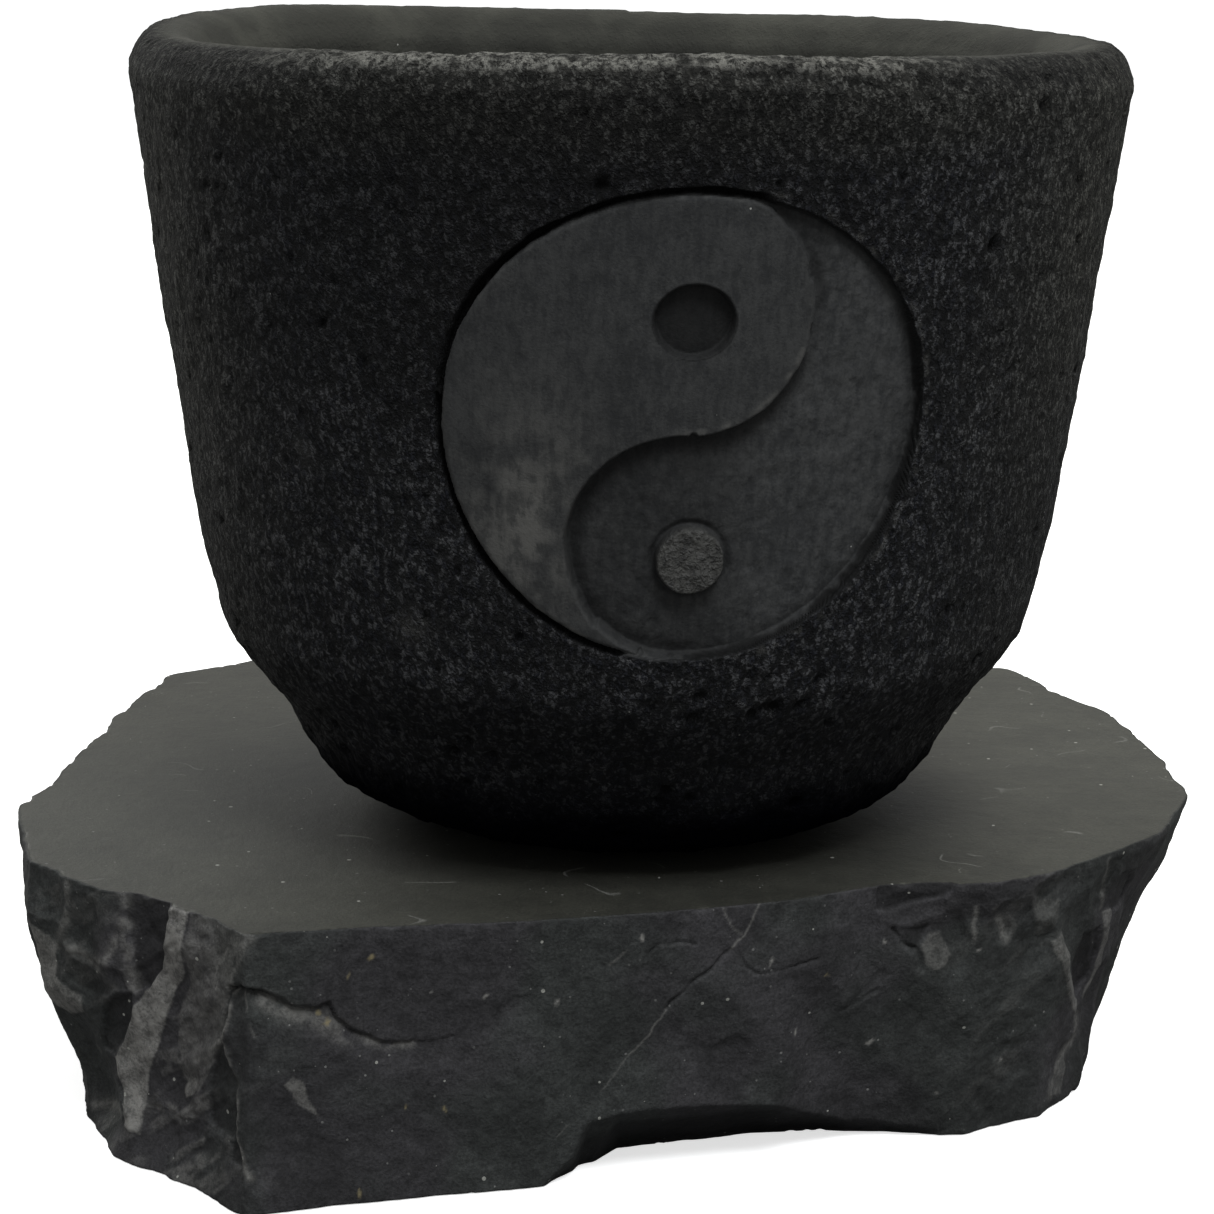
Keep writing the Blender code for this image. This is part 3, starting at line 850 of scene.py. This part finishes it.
def open_cracks(side):
    """Cracks, and the hollow under the overhanging lip of the long one at the left."""
    broken = 0.35 + 0.65 * smoothstep((smooth_noise(side.points, 0.0030, 98) + 0.5) / 0.7)
    for half_width, deep, path in CRACKS:
        cut = bell(line_gap(side.fine_s, side.fine_z, path) / (half_width * MM)) * broken
        side.depth += cut * deep * MM
        # Painted shade: each crack is darkened, more the deeper it is.
        side.dark = np.maximum(side.dark, cut * min(1.0, 0.25 + deep / 2))
    overhang = CRACKS[0][2] + CRACKS[1][2][1:] + CRACKS[2][2][1:]
    along = side.fine_s / MM
    under = np.interp(along, [p[0] for p in overhang], [p[1] for p in overhang]) * MM - side.fine_z
    reach = np.interp(along, (-57, -50, -42, -30, -22), (1.0, 1.0, 0.8, 0.35, 0.0))
    ledge = np.clip(1 - under / 0.0050, 0, 1) ** 1.5 * smoothstep(under / 0.0003)
    side.depth += 0.0013 * ledge * reach * smoothstep((along + 57) / 1.0)


def roughen(side):
    """Fine bumps, stronger where the stone tore off and on the far sides."""
    bumps = 0.00016 * rough_noise(side.points, 0.0050, 84, 2)
    bumps += 0.00006 * rough_noise(side.points, 0.0014, 88, 2)
    torn = 1.6 * bell((side.s + 0.066) / 0.009)
    rougher = 1 + torn + 1.2 * bell((side.s - 0.065) / 0.010) + 0.5 * (np.abs(side.s) > 0.09)
    side.depth -= bumps * rougher


def chip_mask(side, chips):
    """Small ragged chips of another mineral: place, radius and strength of each."""
    chip_s = side.s + 0.00045 * rough_noise(side.points, 0.0008, 80, 2)
    chip_z = side.z + 0.00045 * rough_noise(side.points, 0.0008, 82, 2)
    mask = np.zeros(side.s.shape)
    for place, radius, strength in chips:
        gap = np.hypot(chip_s - place[0] * MM, chip_z - place[1] * MM)
        mask = np.maximum(mask, smoothstep((radius * 0.55 * MM - gap) / 0.0005 + 0.5) * strength)
    return mask


def pale_side(side):
    """Pale fibres, facets, seams and chips; dark must be complete but for the dark patches."""
    patchy = smoothstep((rough_noise(side.points, 0.0018, 76, 2) + 0.85) / 0.9)
    pale = 0.30 * side.torn * smoothstep((side.fibres - 0.15) / 0.5) * patchy * (1 - side.dark)
    pale = np.maximum(pale, side.lit * (0.70 + 0.30 * patchy))
    for half_width, strength, path in SEAMS:
        near = bell(line_gap(side.fine_s, side.fine_z, path) / (half_width * MM)) * strength
        pale = np.maximum(pale, near * (patchy if half_width > 0.2 else 1.0))
    return np.maximum(pale, chip_mask(side, PALE_CHIPS))


# Dark patches over the dark facets and cracks; the broad ones low on the front are painted shade.
def darkened(side):
    uneven = 0.6 + 0.4 * smoothstep((rough_noise(side.points, 0.0040, 86, 2) + 0.6) / 0.8)
    dark = side.dark
    for strength, *shape in DARK_PATCHES:
        gap = oval(side.wander_s, side.wander_z, *shape)
        dark = np.maximum(dark, smoothstep((1.25 - gap) / 0.8) * strength * uneven)
    return dark


def split_side(s, z, points, round_trip):
    """How far the split side lies inside the plain side, and its tones: pale, dark, rust."""
    side = SimpleNamespace(
        s=s, z=z, points=points,
        wander_s=s + 0.0011 * rough_noise(points, 0.0060, 60, 2),
        wander_z=z + 0.0011 * rough_noise(points, 0.0060, 64, 2),
        fine_s=s + 0.00024 * rough_noise(points, 0.0018, 68, 3),
        fine_z=z + 0.00024 * rough_noise(points, 0.0018, 72, 3),
        depth=np.zeros(s.shape), dark=np.zeros(s.shape), lit=np.zeros(s.shape),
    )
    strike_flakes(side, round_trip)
    tear(side)
    cut_facets(side)
    open_cracks(side)
    roughen(side)
    return side.depth, pale_side(side), darkened(side), chip_mask(side, RUST_CHIPS)


def chip_edges(points, edge, outward, level, count, seed):
    """Small chips knocked off along an edge; each moves the points in a small ball inwards."""
    rng = np.random.default_rng(seed)
    near = np.flatnonzero(np.abs(points[:, 2] - level) < CHIP_REACH)
    for _ in range(count):
        k = rng.integers(len(edge))
        out = np.array([*outward[k] * 0.75, 0.65 if level > 0 else -0.65])
        out /= np.linalg.norm(out)
        size = 0.0008 + 0.0026 * rng.random() ** 3
        depth = size * rng.uniform(0.05, 0.15)
        centre = edge[k] + out * (size - depth)
        offset = points[near] - centre
        gap = (offset**2).sum(axis=1) - size**2
        inside = gap < 0
        along = offset[inside] @ out
        travel = along + np.sqrt(along**2 - gap[inside])
        points[near[inside]] -= out * np.minimum(travel, 2.2 * depth)[:, None]


def split_under(side, radii, middle_radii):
    """Shadow tone of the hollow under the front: deepest where the side lies far behind its face."""
    behind = np.tile(middle_radii, len(side) // len(middle_radii)) - radii
    hollow = smoothstep((behind - 0.0016) / 0.0030) * smoothstep((0.0125 - side[:, 2]) / 0.002)
    return 0.65 * hollow * (side[:, 1] < SLAB_MIDDLE[1])


def side_outward(line):
    """The level direction out of the stone at each column of a line round its side."""
    columns = len(line)
    laps = np.concatenate([line] * 3)[:, :2]
    ahead = laps[columns + TURN_SPAN : 2 * columns + TURN_SPAN]
    tangent = ahead - laps[columns - TURN_SPAN : 2 * columns - TURN_SPAN]
    tangent /= np.linalg.norm(tangent, axis=1)[:, None]
    return np.stack([tangent[:, 1], -tangent[:, 0]], axis=1)


def slab_lid(edge, middle, steps, height):
    """Rows of points from an edge of the side in towards the middle, all at one height."""
    rows = np.stack([middle + (edge - middle) * (1 - inset / LID_WIDTH) for inset in steps])
    rows[:, :, 2] = height
    return rows


def make_slab(material):
    radius = slab_radius()
    lengths, angles, round_trip = slab_columns(radius)
    columns = len(angles)
    side_rows = int(SLAB_TOP / SLAB_FINE) + 1
    heights = np.linspace(0, SLAB_TOP, side_rows)
    radii = blur(np.array([[radius(a, h) for a in angles] for h in heights]), 1)
    east, north = np.sin(angles), -np.cos(angles)
    middle = np.array([*SLAB_MIDDLE, 0.0])
    side = np.stack([radii * east, radii * north, heights[:, None] * np.ones(columns)], axis=2) + middle

    outward = side_outward(side[side_rows // 2])

    flat_side = side.reshape(-1, 3)
    s = np.tile(lengths, side_rows)
    depth, pale, dark, rust = split_side(s, flat_side[:, 2], flat_side, round_trip)
    flat_side[:, :2] -= np.tile(outward, (side_rows, 1)) * depth[:, None]
    side = flat_side.reshape(side_rows, columns, 3)

    top = slab_lid(side[-1], middle, edge_steps(LID_DETAIL, SLAB_FINE), SLAB_TOP)
    low = slab_lid(side[0], middle, edge_steps(LID_DETAIL, 4 * SLAB_FINE)[::-1], 0.0)
    rows = len(low) + side_rows + len(top)
    points = np.concatenate([low, side, top]).reshape(-1, 3)
    on_top = np.repeat([0.0] * (len(low) + side_rows) + [1.0] * len(top), columns)

    points[:, 2] += 0.00003 * rough_noise(points, 0.004, 92, 2) * on_top
    chip_edges(points, side[-1].copy(), outward, SLAB_TOP, TOP_CHIPS, seed=5)
    chip_edges(points, side[0].copy(), outward, 0.0, LOW_CHIPS, seed=6)
    points[:, 2] = np.clip(points[:, 2], SLAB_LOW.z, SLAB_TOP + 0.00008)

    places, faces = band_faces(rows, columns, np.zeros((rows, columns), bool), 1)
    order = (places[:, 0] * columns + places[:, 1]).round().astype(int)
    poles = [(*SLAB_MIDDLE, 0.0), (*SLAB_MIDDLE, SLAB_TOP)]
    mesh_points = np.vstack([points[order], poles])
    close_band(faces, rows, columns, len(mesh_points) - 2, len(mesh_points) - 1)

    def padded(values, low_value=0.0, top_value=0.0):
        """The side's values, with one value for the whole underside and one for the whole top."""
        under, over = np.full(len(low) * columns, low_value), np.full(len(top) * columns, top_value)
        return np.concatenate([np.concatenate([under, values, over])[order], [low_value, top_value]])

    undercut = split_under(flat_side, radii.reshape(-1), radii[side_rows // 2])
    attributes = {
        "pale": padded(pale),
        "dark": padded(np.maximum(dark, undercut), low_value=0.6),
        "rust": padded(rust),
        "sawn": padded(np.zeros(len(flat_side)), top_value=1.0),
    }
    return make_piece(
        "split_slab", mesh_points, faces, attributes, material, "base_slab", "slab"
    )


# ---------------------------------------------------------------- materials

class Shader:
    """Short ways to build one material's node tree."""

    def __init__(self, name):
        self.material = bpy.data.materials.new(name)
        self.material.use_nodes = True
        self.tree = self.material.node_tree
        self.surface = self.tree.nodes["Principled BSDF"]
        self.place = self.node("ShaderNodeTexCoord").outputs["Object"]

    def node(self, kind, inputs=None, **settings):
        made = self.tree.nodes.new(kind)
        for name, value in settings.items():
            setattr(made, name, value)
        for key, value in (inputs or {}).items():
            self.feed(made.inputs[key], value)
        return made

    def feed(self, socket, value):
        if isinstance(value, bpy.types.NodeSocket):
            self.tree.links.new(value, socket)
        else:
            socket.default_value = value

    def math(self, operation, a, b=0.0, clamp=False):
        made = self.node("ShaderNodeMath", {0: a, 1: b}, operation=operation)
        made.use_clamp = clamp
        return made.outputs[0]

    def vector(self, operation, inputs):
        return self.node("ShaderNodeVectorMath", inputs, operation=operation).outputs[0]

    def times(self, a, b):
        return self.math("MULTIPLY", a, b)

    def plus(self, a, b):
        return self.math("ADD", a, b)

    def weigh(self, *parts):
        """Sum of values, each given with its weight."""
        total = self.times(*parts[0])
        for value, weight in parts[1:]:
            total = self.plus(total, self.times(value, weight))
        return total

    def attributes(self, *names):
        nodes = [self.node("ShaderNodeAttribute", attribute_name=name) for name in names]
        return [node.outputs["Fac"] for node in nodes]

    def noise(self, size, detail=2.0, roughness=0.5, stretch=(1, 1, 1), shift=0.0):
        place = self.node(
            "ShaderNodeMapping", {"Vector": self.place, "Scale": stretch, "Location": (shift,) * 3}
        )
        inputs = {"Vector": place.outputs[0], "Scale": 1 / size, "Detail": detail, "Roughness": roughness}
        return self.node("ShaderNodeTexNoise", inputs).outputs["Fac"]

    def grains(self, size, wander):
        """Lumpy grains: height from 0 in the gaps to 1 on top, and one random tone for each."""
        stray = self.node("ShaderNodeTexNoise", {"Vector": self.place, "Scale": 1 / size, "Detail": 2.0})
        push = self.vector("SCALE", {0: stray.outputs["Color"], "Scale": wander})
        upright = self.node("ShaderNodeMapping", {"Vector": self.place, "Scale": (1.0, 1.0, 0.62)})
        place = self.vector("ADD", {0: upright.outputs[0], 1: push})
        cells = self.node("ShaderNodeTexVoronoi", {"Vector": place, "Scale": 1 / size})
        tone = self.node("ShaderNodeSeparateColor", {0: cells.outputs["Color"]}).outputs[0]
        return self.ramp(cells.outputs["Distance"], 0.72, 0.05), tone

    def ramp(self, value, low, high, start=0.0, end=1.0):
        inputs = {"Value": value, "From Min": low, "From Max": high, "To Min": start, "To Max": end}
        made = self.node("ShaderNodeMapRange", inputs, interpolation_type="SMOOTHSTEP")
        return made.outputs[0]

    def mix(self, factor, a, b):
        made = self.node("ShaderNodeMix", data_type="RGBA")
        self.feed(made.inputs["Factor"], factor)
        for socket, value in zip((made.inputs[6], made.inputs[7]), (a, b)):
            self.feed(socket, (*value, 1.0) if isinstance(value, tuple) else value)
        return made.outputs[2]

    def scale_colour(self, colour, value):
        return self.vector("SCALE", {0: colour, "Scale": value})

    def specks(self, spacing, size, share, shift=0.0):
        """1 inside small round dots, about one to a cell of the spacing."""
        place = self.node("ShaderNodeMapping", {"Vector": self.place, "Location": (shift,) * 3})
        cells = self.node("ShaderNodeTexVoronoi", {"Vector": place.outputs[0], "Scale": 1 / spacing})
        chance = self.node("ShaderNodeSeparateColor", {0: cells.outputs["Color"]})
        reach = self.times(self.ramp(chance.outputs[1], 0.0, 1.0, 0.3, 1.0), size / spacing)
        dot = self.math("LESS_THAN", cells.outputs["Distance"], reach)
        return self.times(dot, self.math("LESS_THAN", chance.outputs[0], share))

    def finish(self, colour, roughness, height, specular):
        bump = self.node("ShaderNodeBump", {"Strength": 1.0, "Distance": 1.0, "Height": height})
        self.feed(self.surface.inputs["Base Color"], colour)
        self.feed(self.surface.inputs["Roughness"], roughness)
        self.feed(self.surface.inputs["Specular IOR Level"], specular)
        self.feed(self.surface.inputs["Normal"], bump.outputs[0])
        return self.material


def basalt():
    s = Shader("basalt")
    honed, pale, deep, tone, worn = s.attributes("honed", "pale", "deep", "tone", "worn")
    dust, smooth, upper, shade, painted_front_shade = s.attributes("dust", "smooth", "upper", "shade", "painted_front_shade")
    grain = s.noise(0.00066, 4.0, 0.75, stretch=(1, 1, 0.65))
    crumbs = s.noise(0.0012, 3.0, 0.6, stretch=(1, 1, 0.65), shift=3.0)
    pocks = s.noise(0.0030, 3.0, 0.65, shift=19.0)
    blotch = s.noise(0.012, 3.0, 0.6, shift=7.0)
    broad = s.noise(0.050, 2.0, 0.5, shift=11.0)

    fine = s.noise(0.00040, 4.0, 0.7, shift=5.0)
    lump, lump_tone = s.grains(0.00080, 0.0018)
    lit = s.ramp(s.weigh((lump_tone, 0.35), (grain, 0.65)), 0.34, 0.66)
    skin = s.mix(lit, (0.0085, 0.0093, 0.0130), (0.0562, 0.0570, 0.0598))
    lumps = s.weigh((lump, 0.6), (crumbs, 0.8))
    # Painted shade at grain size: darker in the gaps between grains and in the pocks, lighter on the
    # grain tops.
    skin = s.scale_colour(skin, s.ramp(lumps, 0.42, 0.84, 0.18, 1.28))
    skin = s.scale_colour(skin, s.ramp(pocks, 0.36, 0.46, 0.60, 1.0))
    skin = s.scale_colour(skin, s.ramp(s.plus(blotch, broad), 0.75, 1.3, 0.78, 1.22))
    # Painted light: where upper is high, the skin takes this lighter, warmer colour.
    painted_warm_light = s.mix(lit, (0.0290, 0.0287, 0.0230), (0.0980, 0.0968, 0.0840))
    # The same painted shade in the gaps between grains.
    painted_warm_light = s.scale_colour(painted_warm_light, s.ramp(lumps, 0.38, 0.82, 0.30, 1.22))
    skin = s.mix(s.times(upper, 0.80), skin, painted_warm_light)
    # Painted shade: the front above the relief is darkened.
    skin = s.scale_colour(skin, s.ramp(painted_front_shade, 0.0, 1.0, 1.0, 0.36))
    skin = s.mix(s.ramp(shade, 0.0, 1.0), skin, (0.0016, 0.0018, 0.0036))

    scratch = s.noise(0.0011, 3.0, 0.6, stretch=(1, 1, 0.3), shift=15.0)
    mottle = s.noise(0.0022, 4.0, 0.70, shift=17.0)
    honed_light = s.weigh((s.plus(fine, scratch), 0.30), (s.plus(blotch, mottle), 0.20))
    flat = s.mix(s.ramp(honed_light, 0.40, 0.60), (0.0255, 0.0264, 0.0275), (0.0530, 0.0537, 0.0536))
    # Painted shade and light: the sunk half darker on the left by its head, lighter to the right.
    flat = s.scale_colour(flat, s.ramp(tone, -1.0, 1.0, 0.62, 1.02))
    rubbed = s.times(worn, s.ramp(s.plus(scratch, mottle), 0.80, 1.15, 0.35, 1.0))
    flat = s.mix(rubbed, flat, (0.098, 0.096, 0.090))
    colour = s.mix(honed, skin, flat)
    olive = s.mix(s.ramp(blotch, 0.35, 0.65), (0.030, 0.030, 0.026), (0.046, 0.046, 0.039))
    colour = s.mix(smooth, colour, olive)
    chalk = s.mix(s.ramp(s.plus(crumbs, grain), 0.84, 1.12), (0.020, 0.020, 0.018), (0.200, 0.197, 0.180))
    colour = s.mix(dust, colour, chalk)
    colour = s.mix(s.times(pale, s.ramp(crumbs, 0.35, 0.55, 0.5, 1.0)), colour, (0.115, 0.113, 0.105))
    # Painted shade: deep darkens the carving's recesses and the pores.
    colour = s.scale_colour(colour, s.ramp(deep, 0.0, 1.0, 1.0, 0.08))
    lint = s.specks(0.0050, 0.00016, 0.50)
    colour = s.mix(lint, colour, (0.30, 0.30, 0.28))

    rough = s.times(s.math("SUBTRACT", 1.0, honed), s.ramp(smooth, 0.0, 1.0, 1.0, 0.15))
    skin_height = s.weigh((crumbs, 0.00065), (fine, 0.00040), (grain, 0.00060))
    skin_height = s.plus(skin_height, s.weigh((lump, 0.00045), (pocks, 0.0016)))
    flat_height = s.weigh((fine, 0.00008), (mottle, 0.00016))
    height = s.weigh((skin_height, rough), (flat_height, honed))
    roughness = s.ramp(honed, 0.0, 1.0, 0.92, 0.75)
    return s.finish(colour, roughness, height, s.ramp(shade, 0.3, 1.0, 0.22, 0.0))


def split_stone():
    s = Shader("split_stone")
    pale, dark, rust, sawn = s.attributes("pale", "dark", "rust", "sawn")
    side = s.math("SUBTRACT", 1.0, sawn)
    fine = s.noise(0.00045, 4.0, 0.7)
    coarse = s.noise(0.0022, 3.0, 0.6, shift=2.0)
    blotch = s.noise(0.011, 3.0, 0.6, shift=4.0)
    tint = s.noise(0.024, 2.0, 0.5, shift=6.0)
    streak = s.noise(0.0030, 3.0, 0.6, stretch=(0.15, 1, 1), shift=8.0)
    thread = s.math("ABSOLUTE", s.plus(s.noise(0.021, 2.0, 0.5, shift=10.0), -0.5))
    scratched = s.ramp(s.noise(0.013, 1.0, 0.5, shift=12.0), 0.59, 0.63)
    scratch = s.times(s.ramp(thread, 0.0060, 0.0015), scratched)

    cool = s.mix(s.ramp(tint, 0.42, 0.58), (0.0318, 0.0306, 0.0328), (0.0297, 0.0318, 0.0308))
    mottle = s.weigh((blotch, 0.6), (coarse, 0.4))
    split = s.scale_colour(cool, s.ramp(mottle, 0.38, 0.62, 0.70, 1.28))
    top_tone = s.ramp(s.weigh((coarse, 0.35), (blotch, 0.5), (streak, 0.15)), 0.35, 0.65)
    top = s.mix(top_tone, (0.0232, 0.0231, 0.0176), (0.0374, 0.0372, 0.0288))
    # Painted shadow of the bowl: the top is darkest within 40 mm of the bowl's axis and clears by 78 mm.
    level = s.vector("MULTIPLY", {0: s.place, 1: (1.0, 1.0, 0.0)})
    from_bowl = s.node("ShaderNodeVectorMath", {0: level}, operation="LENGTH").outputs["Value"]
    top = s.scale_colour(top, s.ramp(from_bowl, 0.040, 0.078, 0.60, 1.0))
    top = s.mix(s.times(scratch, 0.8), top, (0.11, 0.11, 0.10))
    colour = s.mix(sawn, split, top)
    colour = s.scale_colour(colour, s.ramp(fine, 0.34, 0.66, 0.70, 1.30))
    worn = s.times(pale, s.ramp(s.plus(fine, coarse), 0.80, 1.15, 0.55, 1.2))
    colour = s.mix(worn, colour, (0.220, 0.214, 0.200))
    colour = s.mix(rust, colour, (0.240, 0.200, 0.110))
    # dark holds the dark facets and patches, and painted shade in the cracks, low on the front, under its
    # overhang and on the underside.
    colour = s.scale_colour(colour, s.ramp(dark, 0.0, 1.0, 1.0, 0.22))
    white = s.specks(0.0038, 0.00032, 0.60)
    tiny = s.times(s.specks(0.0015, 0.00020, 0.6, shift=1.0), s.ramp(blotch, 0.42, 0.60))
    colour = s.mix(s.times(white, 0.8), colour, (0.34, 0.34, 0.31))
    colour = s.mix(s.times(tiny, 0.55), colour, (0.24, 0.24, 0.23))

    split_height = s.weigh((fine, 0.00012), (coarse, 0.00035))
    top_height = s.weigh((fine, 0.00007), (coarse, 0.00012))
    height = s.weigh((split_height, side), (top_height, sawn))
    roughness = s.ramp(sawn, 0.0, 1.0, 0.80, 0.60)
    return s.finish(colour, roughness, height, s.ramp(sawn, 0.0, 1.0, 0.30, 0.50))


# ---------------------------------------------------------------- studio

VIEW_DISTANCE = 0.494
VIEW_HEIGHT = 0.1418
VIEW_SHIFT = -0.0024
VIEW_PITCH = math.radians(12.65)
VIEW_ROLL = math.radians(0.7)
FOCAL_MM = 96.1
SENSOR_MM = 36.0
FLOOR_SIZE, FLOOR_GAP, FLOOR_GLOW = 24.0, 0.0002, 0.65
AMBIENT_STRENGTH = 0.50
LIGHT_AIM = (0.0, 0.0, 0.1)
# Name, place, diameter, watts and colour of each area light.
LIGHTS = (
    ("key", (0.45, 0.55, 1.55), 0.9, 9.0, (1.0, 0.98, 0.84)),
    ("back", (-1.10, 1.20, 0.85), 0.9, 11.0, (1.0, 1.0, 0.96)),
    ("front", (0.30, -0.85, 1.40), 0.6, 18.0, (0.95, 0.98, 1.0)),
)


def make_camera():
    data = bpy.data.cameras.new("camera")
    data.lens = FOCAL_MM
    data.sensor_width = SENSOR_MM
    data.clip_start, data.clip_end = 0.01, 60.0
    camera = add_object("camera", data)
    turn = Matrix.Rotation(math.pi / 2 - VIEW_PITCH, 4, "X") @ Matrix.Rotation(VIEW_ROLL, 4, "Z")
    place = Matrix.Translation((VIEW_SHIFT, -VIEW_DISTANCE, SLAB_TOP + VIEW_HEIGHT))
    camera.matrix_world = place @ turn
    bpy.context.scene.camera = camera


def make_floor():
    """Pale paper that looks bright and throws little light back under the stones."""
    half = FLOOR_SIZE / 2
    corners = ((-half, -half), (half, -half), (half, half), (-half, half))
    mesh = bpy.data.meshes.new("floor")
    mesh.from_pydata([(x, y, CAD_LOW.z - FLOOR_GAP) for x, y in corners], [], [(0, 1, 2, 3)])
    s = Shader("floor")
    seen = s.node("ShaderNodeLightPath").outputs["Is Camera Ray"]
    grey = s.noise(0.02, 2.0)
    paper = s.mix(grey, (0.88, 0.88, 0.88), (0.92, 0.92, 0.92))
    s.feed(s.surface.inputs["Emission Color"], (1.0, 1.0, 1.0, 1.0))
    s.feed(s.surface.inputs["Emission Strength"], s.times(seen, FLOOR_GLOW))
    colour = s.mix(seen, (0.16, 0.16, 0.16), paper)
    mesh.materials.append(s.finish(colour, 0.9, s.times(s.noise(0.002), 0.00001), 0.0))
    add_object("floor", mesh)


def area_light(name, place, size, watts, colour):
    data = bpy.data.lights.new(name, "AREA")
    data.shape = "DISK"
    data.size = size
    data.energy = watts
    data.color = colour
    lamp = add_object(name, data)
    lamp.location = place
    lamp.rotation_mode = "QUATERNION"
    lamp.rotation_quaternion = (Vector(LIGHT_AIM) - Vector(place)).to_track_quat("-Z", "Y")


def make_light():
    world = bpy.data.worlds.new("studio")
    bpy.context.scene.world = world
    world.use_nodes = True
    tree = world.node_tree
    ambient = tree.nodes["Background"]
    ambient.inputs["Color"].default_value = (0.97, 0.98, 0.98, 1.0)
    ambient.inputs["Strength"].default_value = AMBIENT_STRENGTH
    seen = tree.nodes.new("ShaderNodeBackground")
    seen.inputs["Color"].default_value = (0.97, 0.97, 0.97, 1.0)
    rays = tree.nodes.new("ShaderNodeLightPath")
    mix = tree.nodes.new("ShaderNodeMixShader")
    tree.links.new(rays.outputs["Is Camera Ray"], mix.inputs[0])
    tree.links.new(ambient.outputs[0], mix.inputs[1])
    tree.links.new(seen.outputs[0], mix.inputs[2])
    tree.links.new(mix.outputs[0], tree.nodes["World Output"].inputs["Surface"])
    for light in LIGHTS:
        area_light(*light)


def main():
    bpy.context.scene.view_settings.view_transform = "Standard"
    make_bowl(basalt())
    make_slab(split_stone())
    make_floor()
    make_light()
    make_camera()


main()
